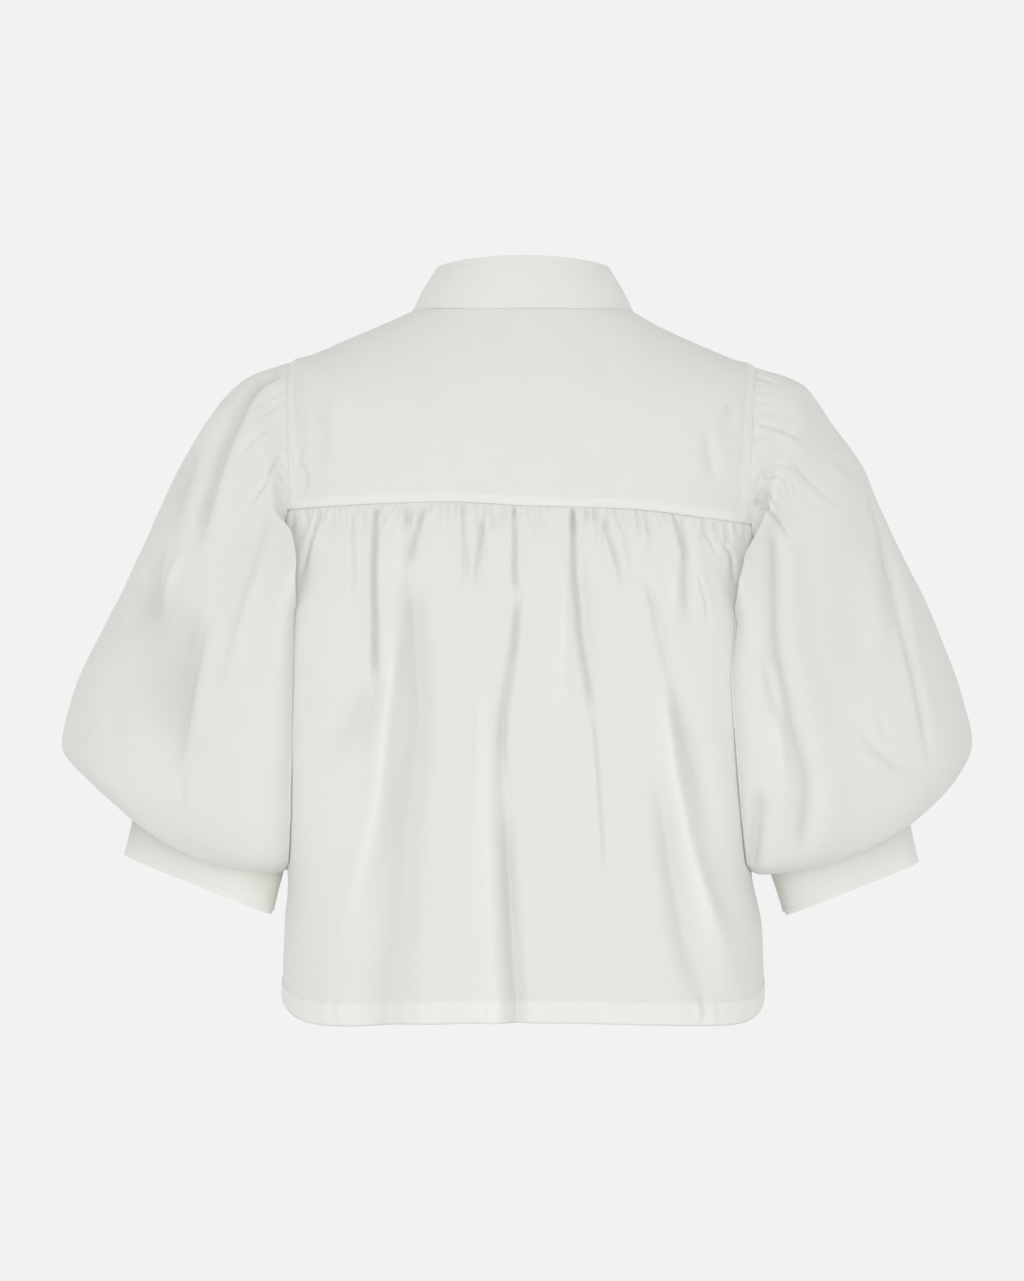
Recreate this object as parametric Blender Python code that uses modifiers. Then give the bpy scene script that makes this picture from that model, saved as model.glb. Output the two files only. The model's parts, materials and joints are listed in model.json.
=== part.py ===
"""A button-up shirt with a stand collar, a deep back yoke, a gathered back and balloon sleeves, as it is worn.

Metres, +Z up. The wearer's left is +X and the back faces +Y. The origin is in the middle of the neck opening,
level with the back neck seam, where the wearer's neck and shoulders hold the shirt up. Each piece of cloth is
an open surface through rings, given its wall inwards, and stops a seam's gap short of its neighbour.
"""

import math
from collections import namedtuple

import bmesh
import bpy
import numpy as np
from mathutils import Matrix, Vector

WALL = 0.0012  # one thickness of shirting
BAND_WALL = 0.0016  # collar and cuffs, two thicknesses
SEAM_GAP = 0.0003  # between the pieces at a flat seam
SHOULDER_GAP = 0.0007  # at the shoulder seam, which is bent
ARMHOLE_GAP = 0.0008  # between the body's cut edge and the sleeve
CUFF_SEAM_GAP = 0.0006
BAND_GAP = 0.0005  # between a front and the band on it

# The body: closed rings from the neck seam to the hem. "down" numbers them by the cloth's length from the neck,
# back and front are how far a ring reaches from the X axis, and square is 2 for an ellipse, more for a boxier one.
BodyRing = namedtuple("BodyRing", "name down half_width back front side_z back_z front_z square")
BODY_RINGS = (
    BodyRing("neck seam", 0.000, 0.0920, 0.062, 0.084, 0.0030, 0.000, -0.075, 2.0),
    BodyRing("mid shoulder", 0.055, 0.1430, 0.086, 0.098, -0.0195, -0.050, -0.118, 2.2),
    BodyRing("outer shoulder", 0.085, 0.1740, 0.095, 0.105, -0.0330, -0.077, -0.138, 2.4),
    BodyRing("shoulder point", 0.110, 0.1935, 0.101, 0.110, -0.0405, -0.104, -0.158, 2.6),
    BodyRing("yoke seam", 0.165, 0.2180, 0.109, 0.116, -0.1700, -0.158, -0.190, 3.0),
    BodyRing("underarm", 0.250, 0.1930, 0.117, 0.119, -0.2450, -0.245, -0.250, 3.6),
    BodyRing("waist", 0.410, 0.1890, 0.122, 0.120, -0.4050, -0.405, -0.407, 3.8),
    BodyRing("hem", 0.590, 0.2020, 0.127, 0.125, -0.5820, -0.583, -0.588, 3.2),
)
DOWN = {ring.name: ring.down for ring in BODY_RINGS}
ARMHOLE_BACK = math.radians(40)  # how far round the body the armhole reaches behind, at the yoke seam
ARMHOLE_FRONT = math.radians(40)  # and in front
SHOULDER_SEAM = math.radians(-11)  # the yoke ends this far in front of the shoulder's ridge
CENTRE_FRONT = math.radians(-90)

# Gathers under the yoke seam, as seen from behind: where each starts across the back, how far it drifts by its
# end, its length, its depth and its half width at the seam.
Gather = namedtuple("Gather", "at drift length depth width")
GATHERS = (
    Gather(0.1640, 0.014, 0.070, 0.0030, 0.0035),
    Gather(0.1500, 0.004, 0.050, 0.0020, 0.0030),
    Gather(0.1376, 0.002, 0.085, 0.0034, 0.0032),
    Gather(0.1200, -0.004, 0.160, 0.0045, 0.0036),
    Gather(0.1080, 0.001, 0.070, 0.0028, 0.0028),
    Gather(0.0985, 0.001, 0.090, 0.0030, 0.0028),
    Gather(0.0870, 0.003, 0.060, 0.0032, 0.0028),
    Gather(0.0780, 0.009, 0.060, 0.0026, 0.0026),
    Gather(0.0640, 0.002, 0.045, 0.0020, 0.0030),
    Gather(0.0496, 0.001, 0.075, 0.0030, 0.0030),
    Gather(0.0328, 0.007, 0.090, 0.0034, 0.0030),
    Gather(0.0190, 0.000, 0.050, 0.0020, 0.0028),
    Gather(0.0072, -0.004, 0.120, 0.0042, 0.0034),
    Gather(-0.0104, 0.000, 0.080, 0.0030, 0.0030),
    Gather(-0.0235, 0.000, 0.050, 0.0020, 0.0028),
    Gather(-0.0400, -0.020, 0.260, 0.0046, 0.0036),
    Gather(-0.0525, -0.004, 0.080, 0.0030, 0.0028),
    Gather(-0.0640, -0.024, 0.090, 0.0032, 0.0030),
    Gather(-0.0770, -0.002, 0.060, 0.0026, 0.0028),
    Gather(-0.0900, -0.001, 0.080, 0.0032, 0.0030),
    Gather(-0.1030, -0.002, 0.070, 0.0030, 0.0030),
    Gather(-0.1216, -0.010, 0.070, 0.0030, 0.0030),
    Gather(-0.1340, -0.004, 0.050, 0.0022, 0.0030),
    Gather(-0.1456, -0.010, 0.060, 0.0028, 0.0034),
)
GATHER_SPREAD = 1.6  # how much wider a gather is at its end
GATHER_FADE = 0.7  # the share of its length over which a gather dies out
SEAM_HOLD = 0.012  # the seam holds the gathers flat for this far
EDGE_HOLD = math.radians(16)  # and the armhole and the side seam hold the folds flat this far round the body

# Long soft folds down the back and the fronts, from and to a distance below the neck seam. One with a depth
# below zero is a trough.
Fold = namedtuple("Fold", "x_from x_to down_from down_to depth width")
BACK_FOLDS = (
    Fold(0.160, 0.172, 0.300, 0.620, 0.0040, 0.014),
    Fold(0.099, 0.132, 0.240, 0.540, 0.0050, 0.014),
    Fold(0.103, 0.142, 0.330, 0.640, -0.0060, 0.013),
    Fold(0.064, 0.070, 0.280, 0.620, -0.0030, 0.018),
    Fold(0.033, 0.024, 0.310, 0.660, 0.0050, 0.014),
    Fold(0.004, 0.008, 0.220, 0.660, -0.0065, 0.012),
    Fold(-0.028, -0.034, 0.230, 0.420, 0.0045, 0.016),
    Fold(-0.060, -0.066, 0.260, 0.500, -0.0055, 0.013),
    Fold(-0.090, -0.100, 0.320, 0.640, 0.0040, 0.018),
    Fold(-0.112, -0.164, 0.270, 0.600, -0.0065, 0.013),
    Fold(-0.128, -0.182, 0.320, 0.600, 0.0050, 0.014),
)
FRONT_FOLDS = (
    Fold(0.070, 0.090, 0.100, 0.420, -0.0030, 0.016),
    Fold(0.110, 0.140, 0.190, 0.600, -0.0050, 0.015),
    Fold(0.060, 0.072, 0.330, 0.650, 0.0040, 0.018),
    Fold(0.165, 0.172, 0.300, 0.640, 0.0035, 0.014),
)
FOLD_GROW = 0.25  # the share of its length over which a fold grows
FOLD_FADE = 0.33  # and over which it dies out
FOLDS_FROM = 0.065  # no fold on the fronts starts nearer the neck than this
FOLDS_EASE = 0.010  # they come in over this length of cloth
BACK_FULLNESS = 0.0045  # how far the gathered back swells out below the yoke seam
FULL_OVER = 0.030  # the length of cloth over which it fills out
FULL_UNTIL = 0.450  # and how far below the seam it lies flat again
FLAT_OVER = 0.400  # after dying out over this length

# Each sleeve: rings through an outer and an inner point as seen from behind (x is measured out from the middle
# of the body), how far the ring reaches behind and in front, and how far its middle hangs below those two points.
SleeveRing = namedtuple("SleeveRing", "outer_x outer_z inner_x inner_z back front sag")
LEFT_SLEEVE = (
    SleeveRing(0.2293, -0.0530, 0.2050, -0.2600, 0.080, 0.079, 0.000),
    SleeveRing(0.2650, -0.0914, 0.2000, -0.2860, 0.080, 0.078, 0.000),
    SleeveRing(0.3020, -0.1595, 0.1990, -0.3200, 0.078, 0.076, 0.000),
    SleeveRing(0.3460, -0.2544, 0.1980, -0.3650, 0.078, 0.075, 0.000),
    SleeveRing(0.3800, -0.3265, 0.1970, -0.4080, 0.078, 0.074, 0.002),
    SleeveRing(0.3885, -0.3625, 0.1970, -0.4360, 0.075, 0.072, 0.006),
    SleeveRing(0.3710, -0.3835, 0.1960, -0.4540, 0.066, 0.063, 0.015),
    SleeveRing(0.3400, -0.4060, 0.1965, -0.4620, 0.050, 0.048, 0.020),
)
RIGHT_SLEEVE = (
    SleeveRing(0.2330, -0.0575, 0.2050, -0.2600, 0.080, 0.079, 0.000),
    SleeveRing(0.2595, -0.0930, 0.1960, -0.2860, 0.080, 0.078, 0.000),
    SleeveRing(0.2960, -0.1600, 0.1900, -0.3200, 0.079, 0.076, 0.000),
    SleeveRing(0.3405, -0.2477, 0.1880, -0.3600, 0.078, 0.075, 0.000),
    SleeveRing(0.3680, -0.3233, 0.1890, -0.4050, 0.078, 0.074, 0.002),
    SleeveRing(0.3770, -0.3620, 0.1910, -0.4380, 0.075, 0.071, 0.006),
    SleeveRing(0.3640, -0.3910, 0.1930, -0.4550, 0.066, 0.063, 0.014),
    SleeveRing(0.3400, -0.4120, 0.1970, -0.4625, 0.050, 0.048, 0.018),
)
CuffEnds = namedtuple("CuffEnds", "outer_x outer_z inner_x inner_z")
LEFT_CUFF = (CuffEnds(0.3270, -0.4190, 0.2005, -0.4650), CuffEnds(0.3343, -0.4518, 0.2125, -0.5005))
RIGHT_CUFF = (CuffEnds(0.3245, -0.4235, 0.2065, -0.4655), CuffEnds(0.3318, -0.4577, 0.2218, -0.5014))
CUFF_DEPTH = 0.027  # half of it, front to back
CUFF_SQUARE = 2.2
BODY_CLEARANCE = 0.009  # a sleeve hangs at least this far from the body
CLEAR_OVER = 0.008  # and comes away from it over this height under the arm
LEAST_SHARE = 0.3  # no point nearer the body's middle than this share of its width is moved further

# A sleeve's relief: gathers over the top of the armhole and all round the cuff, and soft swells between them. A
# stretch of a sleeve, 0 at the armhole and 1 at the cuff, is where it starts, over how much, its end, over how much.
CAP_WAVES = 11
CAP_WAVE_DEPTH = 0.0026
CAP_REACH = math.radians(115)  # how far round from the top the cap is gathered
CAP_EDGE = 0.4  # the angle over which its gathers die out
CAP_STRETCH = (0.0, 0.05, 0.42, 0.30)
CUFF_WAVES = 14
CUFF_WAVE_DEPTH = 0.0030
CUFF_STRETCH = (0.72, 0.18, 1.0, 0.06)
SWELLS = 5
SWELL_DEPTH = 0.004
SWELL_STRETCH = (0.0, 0.30, 1.0, 0.30)
SWELL_TWIST = 2.0  # how far the swells turn round the sleeve along it
UNEVEN = ((3, 0.10, 1), (7, 0.05, 2))  # what makes the gathers uneven: (waves round the sleeve, shift, phase)
UNDERARM_AT = 2.9  # from here round to the inner point, over the angle that follows, a sleeve is smooth
UNDERARM_EASE = 0.5

COLLAR_TOP = BodyRing("collar top", 0.0, 0.0725, 0.0550, 0.0700, 0.0390, 0.0435, -0.0380, 2.0)
COLLAR_BOW = 0.0025  # how far the band bows out between its edges
COLLAR_HEIGHT = 0.040
COLLAR_LAP_EASE = 4  # the under end comes level with the band over this many half laps

LAP = 0.013  # each front reaches this far past the middle
LAP_SINK = 0.0032  # the left front and its band lie this much further in
LAP_EASE = 0.035  # and come out again over this width
BUTTON_RADIUS = 0.0055
BUTTON_HEIGHT = 0.0026
BUTTON_COUNT = 7
FIRST_BUTTON_Z = -0.104
BUTTON_PITCH = 0.073
BUTTON_PROFILE = (  # from the middle of the face to the middle of the foot, as shares of the radius and the height
    (0, 0.65), (0.62, 0.60), (0.74, 1.00), (0.90, 1.00), (1.00, 0.60), (0.96, 0.15), (0.82, 0), (0, 0),
)

SHIRTING_COLOUR, SHIRTING_ROUGHNESS = (0.78, 0.78, 0.74), 0.85
BUTTON_COLOUR, BUTTON_ROUGHNESS = (0.80, 0.79, 0.75), 0.25
COLLECTION = "button_up_shirt"

BODY_BACK_COLUMNS = 72
FRONT_COLUMNS = 12
PLACKET_COLUMNS = 3
YOKE_BACK_COLUMNS = 20
SLEEVE_COLUMNS = 64
SLEEVE_ROWS = 11
CUFF_COLUMNS = 28
CUFF_ROWS = 2
COLLAR_COLUMNS = 36
COLLAR_ROWS = 3
BUTTON_STEPS = 10
SHOULDER_ROWS = 5  # from the neck seam along the shoulder seam
ARM_ROWS = 6  # along the armhole's edge above the yoke seam, and again below it
LOWER_ROWS = 6  # from the underarm to the hem
SAMPLES = 400  # places read along a curve to find one on it
TINY = 1e-4  # step for a surface's slope
MERGE = 1e-5


def clear_scene():
    for obj in list(bpy.data.objects):
        bpy.data.objects.remove(obj)


def material(name, colour, roughness):
    finish = bpy.data.materials.new(name)
    finish.use_nodes = True
    shader = finish.node_tree.nodes["Principled BSDF"]
    shader.inputs["Base Color"].default_value = (*colour, 1)
    shader.inputs["Roughness"].default_value = roughness
    shader.inputs["Metallic"].default_value = 0
    return finish


def through(knots, values):
    """A smooth function through the values at the knots, which never overshoots between them."""
    knots = np.array(knots, float)
    values = np.array(values, float)
    steps = np.diff(knots)
    slopes = (np.diff(values, axis=0).T / steps).T
    before, after = slopes[:-1], slopes[1:]
    turning = before * after <= 0
    total = np.where(turning, 1, before + after)
    inner = np.where(turning, 0, 2 * before * after / total)
    tangents = np.concatenate([slopes[:1], inner, slopes[-1:]])

    def at(where):
        where = np.clip(where, knots[0], knots[-1])
        left = np.clip(np.searchsorted(knots, where, side="right") - 1, 0, len(steps) - 1)
        step = steps[left]
        part = (where - knots[left]) / step
        low, high = values[left], values[left + 1]
        low_tangent, high_tangent = tangents[left], tangents[left + 1]
        if values.ndim > 1:
            part = part[..., None]
            step = step[..., None]
        rise = part * part * (3 - 2 * part)
        leave = part * (1 - part) ** 2 * step
        reach = part * part * (part - 1) * step
        return low + (high - low) * rise + low_tangent * leave + high_tangent * reach

    return at


BODY = {
    column: through([ring.down for ring in BODY_RINGS], [getattr(ring, column) for ring in BODY_RINGS])
    for column in BodyRing._fields[2:]
}


def ease(part):
    """0 below 0, 1 above 1, and a smooth rise between."""
    part = np.clip(part, 0, 1)
    return part * part * (3 - 2 * part)


def between(part, start, rise, end, fall):
    """1 on a stretch and 0 outside it, rising smoothly after its start and falling before its end."""
    return ease((part - start) / rise) * ease((end - part) / fall)


def ring_point(angle, half_width, back, front, side_z, back_z, front_z, square):
    """A point of a ring, at an angle round it: 0 the wearer's left, 90 degrees the back, 180 the right."""
    across, deep = np.cos(angle), np.sin(angle)
    boxy = (np.abs(across) ** square + np.abs(deep) ** square) ** (-1 / square)
    reach = np.where(deep > 0, back, front)
    level = np.where(deep > 0, back_z, front_z)
    height = side_z + (level - side_z) * deep * deep
    return np.stack([half_width * across * boxy, reach * deep * boxy, height], -1)


def smooth_body(angle, down):
    """The body's outer face before its folds, by the angle round it and the length down from the neck seam."""
    angle, down = np.broadcast_arrays(np.asarray(angle, float), np.asarray(down, float))
    return ring_point(angle, *(BODY[column](down) for column in BodyRing._fields[2:]))


def body_normal(angle, down):
    angle, down = np.broadcast_arrays(np.asarray(angle, float), np.asarray(down, float))
    round_it = smooth_body(angle + TINY, down) - smooth_body(angle - TINY, down)
    low = np.clip(down - TINY, 0, None)
    along = smooth_body(angle, low + 2 * TINY) - smooth_body(angle, low)
    normal = np.cross(along, round_it)
    return normal / np.linalg.norm(normal, axis=-1, keepdims=True)


def fold_relief(folds, x, down):
    """How far long folds lift or sink the cloth at a place across it and down it."""
    relief = np.zeros_like(x)
    for fold in folds:
        part = (down - fold.down_from) / (fold.down_to - fold.down_from)
        middle = fold.x_from + (fold.x_to - fold.x_from) * part
        strength = between(part, 0, FOLD_GROW, 1, FOLD_FADE)
        relief += fold.depth * strength * np.exp(-(((x - middle) / fold.width) ** 2))
    return relief


def back_relief(x, down):
    """The back's gathers and folds."""
    below = down - DOWN["yoke seam"]
    relief = BACK_FULLNESS * between(below, 0, FULL_OVER, FULL_UNTIL, FLAT_OVER)
    for gather in GATHERS:
        part = below / gather.length
        middle = gather.at + gather.drift * part
        width = gather.width * (1 + GATHER_SPREAD * part)
        strength = ease(below / SEAM_HOLD) * ease((1 - part) / GATHER_FADE)
        relief = relief - gather.depth * strength * np.exp(-(((x - middle) / width) ** 2))
    return relief + fold_relief(BACK_FOLDS, x, down)


def armhole_angle(turn, reach):
    """How far round the body the armhole's edge is, by its own angle from the shoulder point, 0, to the underarm."""
    return reach * np.sin(turn)


def armhole_down(turn):
    top, middle, bottom = DOWN["shoulder point"], DOWN["yoke seam"], DOWN["underarm"]
    upper = top + (middle - top) * (1 - np.cos(turn))
    lower = middle - (bottom - middle) * np.cos(turn)
    return np.where(turn <= math.pi / 2, upper, lower)


def edge_angle(down, reach):
    """How far round the body a piece's edge is at this height: the armhole's, and below it the side seam's, 0."""
    top, middle, bottom = DOWN["shoulder point"], DOWN["yoke seam"], DOWN["underarm"]
    upper = np.arccos(np.clip(1 - (down - top) / (middle - top), -1, 1))
    lower = np.arccos(np.clip((middle - down) / (bottom - middle), -1, 1))
    return armhole_angle(np.where(down <= middle, upper, lower), reach)


def body_surface(angle, down):
    """The body's outer face with its folds. The yoke lies smooth."""
    points = smooth_body(angle, down)
    x = points[..., 0]
    behind = np.sin(angle) > 0
    from_side = np.arcsin(np.abs(np.sin(angle)))
    held = ease((from_side - edge_angle(down, np.where(behind, ARMHOLE_BACK, ARMHOLE_FRONT))) / EDGE_HOLD)
    relief = np.where(behind, back_relief(x, down), fold_relief(FRONT_FOLDS, np.abs(x), down))
    relief = relief * held * ease((down - np.where(behind, DOWN["yoke seam"], FOLDS_FROM)) / FOLDS_EASE)
    return points + body_normal(angle, down) * relief[..., None]


# The rows of points along each armhole's edge, which the pieces round it share: by the armhole's own angle.
ARM_TOP = math.asin(-SHOULDER_SEAM / ARMHOLE_FRONT)  # where the shoulder seam meets it
YOKE_FRONT_TURNS = np.linspace(ARM_TOP, 0, 3)
UPPER_TURNS = np.linspace(0, math.pi / 2, ARM_ROWS + 1)
LOWER_TURNS = np.linspace(math.pi / 2, math.pi, ARM_ROWS + 1)
FRONT_TURNS = np.linspace(ARM_TOP, math.pi, 2 * ARM_ROWS)
SHOULDER_DOWNS = np.linspace(SEAM_GAP, float(armhole_down(np.array(ARM_TOP))), SHOULDER_ROWS + 1)
LOWER_DOWNS = np.linspace(DOWN["underarm"], DOWN["hem"], LOWER_ROWS + 1)
FRONT_DOWNS = np.concatenate([SHOULDER_DOWNS[:-1], armhole_down(FRONT_TURNS), LOWER_DOWNS[1:]])


def surface_object(name, points, wall, finish, wraps=False):
    """A piece of cloth from a grid of points on its outer face: rows of points, whose faces point outwards."""
    rows, columns = points.shape[:2]
    shape = bmesh.new()
    grid = [[shape.verts.new(point) for point in row] for row in points]
    last = columns if wraps else columns - 1
    for upper, lower in zip(grid, grid[1:]):
        for column in range(last):
            after = (column + 1) % columns
            shape.faces.new((upper[column], lower[column], lower[after], upper[after]))
    bmesh.ops.triangulate(shape, faces=shape.faces[:])
    mesh = bpy.data.meshes.new(name)
    shape.to_mesh(mesh)
    shape.free()
    mesh.shade_smooth()
    obj = bpy.data.objects.new(name, mesh)
    obj.data.materials.append(finish)
    thickness = obj.modifiers.new("wall", "SOLIDIFY")
    thickness.thickness = wall
    thickness.offset = -1
    bpy.data.collections[COLLECTION].objects.link(obj)
    return obj


def make_back_panel(cloth):
    """The back from the yoke seam to the hem. Its rows end at the armhole and then at the side seam."""
    downs = np.concatenate([armhole_down(LOWER_TURNS), LOWER_DOWNS[1:]])
    downs[0] += SEAM_GAP
    ends = np.zeros_like(downs)
    ends[:len(LOWER_TURNS)] = armhole_angle(LOWER_TURNS, ARMHOLE_BACK)
    ends += 0.5 * SEAM_GAP / BODY["half_width"](downs)
    across = np.linspace(0, 1, BODY_BACK_COLUMNS + 1)
    angles = ends[:, None] + (math.pi - 2 * ends[:, None]) * across
    points = body_surface(angles, np.broadcast_to(downs[:, None], angles.shape))
    surface_object("back_panel", points, WALL, cloth)


def make_yoke(cloth):
    """The yoke, over both shoulders, from the neck seam to the armholes and the seam across the back."""
    front_turns = -YOKE_FRONT_TURNS[:-1]
    left_angles = np.concatenate([
        armhole_angle(front_turns, ARMHOLE_FRONT),
        armhole_angle(UPPER_TURNS, ARMHOLE_BACK),
    ])
    left_outer = armhole_down(np.abs(np.concatenate([front_turns, UPPER_TURNS])))
    middle = np.linspace(ARMHOLE_BACK, math.pi - ARMHOLE_BACK, YOKE_BACK_COLUMNS + 1)[1:-1]
    angles = np.concatenate([left_angles, middle, math.pi - left_angles[::-1]])
    middle_outer = np.full(len(middle), DOWN["yoke seam"])
    outer = np.concatenate([left_outer, middle_outer, left_outer[::-1]])
    parts = np.linspace(0, 1, SHOULDER_ROWS + 1)
    downs = SEAM_GAP + (outer[None, :] - SEAM_GAP) * parts[:, None]
    points = smooth_body(angles[None, :], downs)
    surface_object("back_yoke", points, WALL, cloth)


def front_surface(angle, down, sink):
    """A front's outer face: the body's, sunk near the middle where it lies under the other front."""
    points = body_surface(angle, down)
    x = points[..., 0]
    depth = sink * ease(1 - (np.abs(x) - LAP) / LAP_EASE)
    return points - body_normal(angle, down) * depth[..., None]


def lap_angle(down, reach):
    """The angle past the centre front that is this far across it."""
    return reach / BODY["half_width"](down)


def make_front(name, side, cloth):
    """The left front is side 1, and lies under. The right front is side -1."""
    downs = FRONT_DOWNS
    armhole = slice(SHOULDER_ROWS, SHOULDER_ROWS + len(FRONT_TURNS))
    ends = np.zeros_like(downs)
    ends[:SHOULDER_ROWS] = SHOULDER_SEAM
    ends[armhole] = -armhole_angle(FRONT_TURNS, ARMHOLE_FRONT)
    gaps = np.where(np.arange(len(downs)) < SHOULDER_ROWS, SHOULDER_GAP, 0.5 * SEAM_GAP)
    gaps[SHOULDER_ROWS] = SHOULDER_GAP
    ends -= gaps / BODY["half_width"](downs)
    middles = CENTRE_FRONT - lap_angle(downs, LAP)
    across = np.linspace(0, 1, FRONT_COLUMNS + 1)
    angles = middles[:, None] + (ends - middles)[:, None] * across
    sink = LAP_SINK if side > 0 else 0
    points = front_surface(angles, np.broadcast_to(downs[:, None], angles.shape), sink)
    if side < 0:
        points = points[:, ::-1] * (-1, 1, 1)
    surface_object(name, points, WALL, cloth)


def make_placket(name, side, cloth):
    """A band down a front's edge, made from the front's own points moved out."""
    across = np.linspace(-1, 1, PLACKET_COLUMNS + 1)
    angles = CENTRE_FRONT + lap_angle(FRONT_DOWNS, LAP)[:, None] * across
    downs = np.broadcast_to(FRONT_DOWNS[:, None], angles.shape)
    sink = LAP_SINK if side > 0 else 0
    points = front_surface(angles, downs, sink) + body_normal(angles, downs) * (WALL + BAND_GAP)
    surface_object(name, points, WALL, cloth)


def make_collar(cloth):
    """The stand collar, a band round the neck whose right end laps over its left end at the front."""
    end = LAP / BODY_RINGS[0].half_width
    angles = np.linspace(CENTRE_FRONT - end, CENTRE_FRONT + 2 * math.pi + end, COLLAR_COLUMNS + 1)
    under = LAP_SINK * ease(1 - (angles - angles[0]) / (COLLAR_LAP_EASE * end))
    base = smooth_body(angles, np.zeros_like(angles))
    top = ring_point(angles, *COLLAR_TOP[2:])
    rise = top - base
    out = base * (1, 1, 0)
    out = out / np.linalg.norm(out, axis=-1, keepdims=True)
    rows = []
    for part in np.linspace(0, 1, COLLAR_ROWS + 1):
        lift = part + (SEAM_GAP / COLLAR_HEIGHT) * (1 - part)
        bow = COLLAR_BOW * 4 * part * (1 - part)
        rows.append(base + rise * lift + out * (bow - under)[:, None])
    surface_object("collar_band", np.array(rows[::-1]), BAND_WALL, cloth)


def sleeve_ring(ring, angle, side):
    """A ring of a sleeve, by the angle round it from its outer point, 0, by the back to its inner point."""
    outer = np.array([ring.outer_x, 0, ring.outer_z])
    inner = np.array([ring.inner_x, 0, ring.inner_z])
    middle = 0.5 * (outer + inner)
    half = 0.5 * (outer - inner)
    down = np.array([half[2], 0, -half[0]]) / np.linalg.norm(half)
    reach = np.where(np.sin(angle) > 0, ring.back, ring.front) * np.sin(angle)
    points = middle + np.cos(angle)[:, None] * half + (ring.sag * np.sin(angle) ** 2)[:, None] * down
    points[:, 1] += reach
    return points * (side, 1, 1)


def armhole_ring(angle, side):
    """The armhole's edge, by the same angle round: 0 the shoulder point, 90 degrees behind, 180 the underarm.

    It runs straight between the points of the pieces round it, so that the seam stays parallel to them.
    """
    front_turns = np.concatenate([YOKE_FRONT_TURNS[:0:-1], FRONT_TURNS])
    back_turns = np.concatenate([UPPER_TURNS[:-1], LOWER_TURNS])
    turns = np.concatenate([-front_turns[::-1], back_turns])
    reach = np.where(turns < 0, ARMHOLE_FRONT, ARMHOLE_BACK)
    edge = smooth_body(armhole_angle(turns, reach), armhole_down(np.abs(turns)))
    turn = np.arctan2(np.sin(angle), np.cos(angle))
    points = np.stack([np.interp(turn, turns, edge[:, axis]) for axis in range(3)], -1)
    return (points + (ARMHOLE_GAP, 0, 0)) * (side, 1, 1)


def clear_of_body(points):
    """Moves a sleeve's points out from the body where they would come closer than the clearance."""
    level = np.linspace(DOWN["underarm"], DOWN["hem"], SAMPLES)
    height = -BODY["side_z"](level)
    drop = -points[..., 2]
    half, back, square = (np.interp(drop, height, BODY[column](level)) for column in ("half_width", "back", "square"))
    across = np.abs(points[..., 0]) / (half + BODY_CLEARANCE)
    deep = np.abs(points[..., 1]) / (back + BODY_CLEARANCE)
    inside = (across**square + deep**square) ** (1 / square)
    grow = np.where(inside < 1, 1 / np.maximum(inside, LEAST_SHARE), 1)
    grow = 1 + (grow - 1) * ease((drop - height[0]) / CLEAR_OVER)
    return points * np.stack([grow, grow, np.ones_like(grow)], -1)


def grid_normals(points, side):
    """Normals of a sleeve's grid, whose columns run all round."""
    around = np.roll(points, -1, axis=1) - np.roll(points, 1, axis=1)
    along = np.gradient(points, axis=0)
    normal = np.cross(along, around) * side
    return normal / np.maximum(np.linalg.norm(normal, axis=-1, keepdims=True), 1e-9)


def sleeve_relief(angle, part, side):
    """A sleeve's gathers at the armhole and at the cuff, and its soft folds between them."""
    uneven = angle + sum(shift * np.sin(waves * angle + phase * side) for waves, shift, phase in UNEVEN)
    from_top = np.abs((angle + math.pi) % (2 * math.pi) - math.pi)
    cap = CAP_WAVE_DEPTH * np.cos(CAP_WAVES * uneven * math.pi / CAP_REACH)
    cap = cap * ease((CAP_REACH - from_top) / CAP_EDGE) * between(part, *CAP_STRETCH)
    cuff = CUFF_WAVE_DEPTH * np.cos(CUFF_WAVES * uneven) * between(part, *CUFF_STRETCH)
    swell = SWELL_DEPTH * np.cos(SWELLS * angle + side + SWELL_TWIST * part) * between(part, *SWELL_STRETCH)
    return (cap + cuff + swell) * ease((UNDERARM_AT - from_top) / UNDERARM_EASE)


def make_sleeve(name, rings, cuff, side, cloth):
    """A balloon sleeve from the armhole to the cuff, gathered at both."""
    angle = np.linspace(0, 2 * math.pi, SLEEVE_COLUMNS, endpoint=False)
    cuff_seam = SleeveRing(*cuff[0], CUFF_DEPTH, CUFF_DEPTH, 0)
    seam = sleeve_ring(cuff_seam, angle, side)
    axis = cuff_axis(cuff, side)
    keys = [armhole_ring(angle, side)]
    keys += [clear_of_body(sleeve_ring(ring, angle, side)) for ring in rings]
    keys += [seam - axis * CUFF_SEAM_GAP]
    keys = np.array(keys)
    lengths = np.linalg.norm(np.diff(keys, axis=0), axis=-1).mean(axis=1)
    knots = np.concatenate([[0], np.cumsum(lengths)])
    knots = knots / knots[-1]
    ends = 0.5 - 0.5 * np.cos(np.linspace(0, math.pi, SLEEVE_ROWS + 1))
    parts = 0.5 * ends + 0.5 * np.linspace(0, 1, SLEEVE_ROWS + 1)
    points = through(knots, keys.reshape(len(keys), -1))(parts).reshape(len(parts), -1, 3)
    relief = sleeve_relief(angle[None, :], parts[:, None], side)
    points[1:-1] += (grid_normals(points, side) * relief[..., None])[1:-1]
    if side < 0:
        points = points[:, ::-1]
    surface_object(name, points, WALL, cloth, wraps=True)


def cuff_axis(cuff, side):
    """The direction down a cuff."""
    top, bottom = (0.5 * np.array([ends.outer_x + ends.inner_x, ends.outer_z + ends.inner_z]) for ends in cuff)
    step = bottom - top
    step = step / np.linalg.norm(step)
    return np.array([side * step[0], 0, step[1]])


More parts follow.
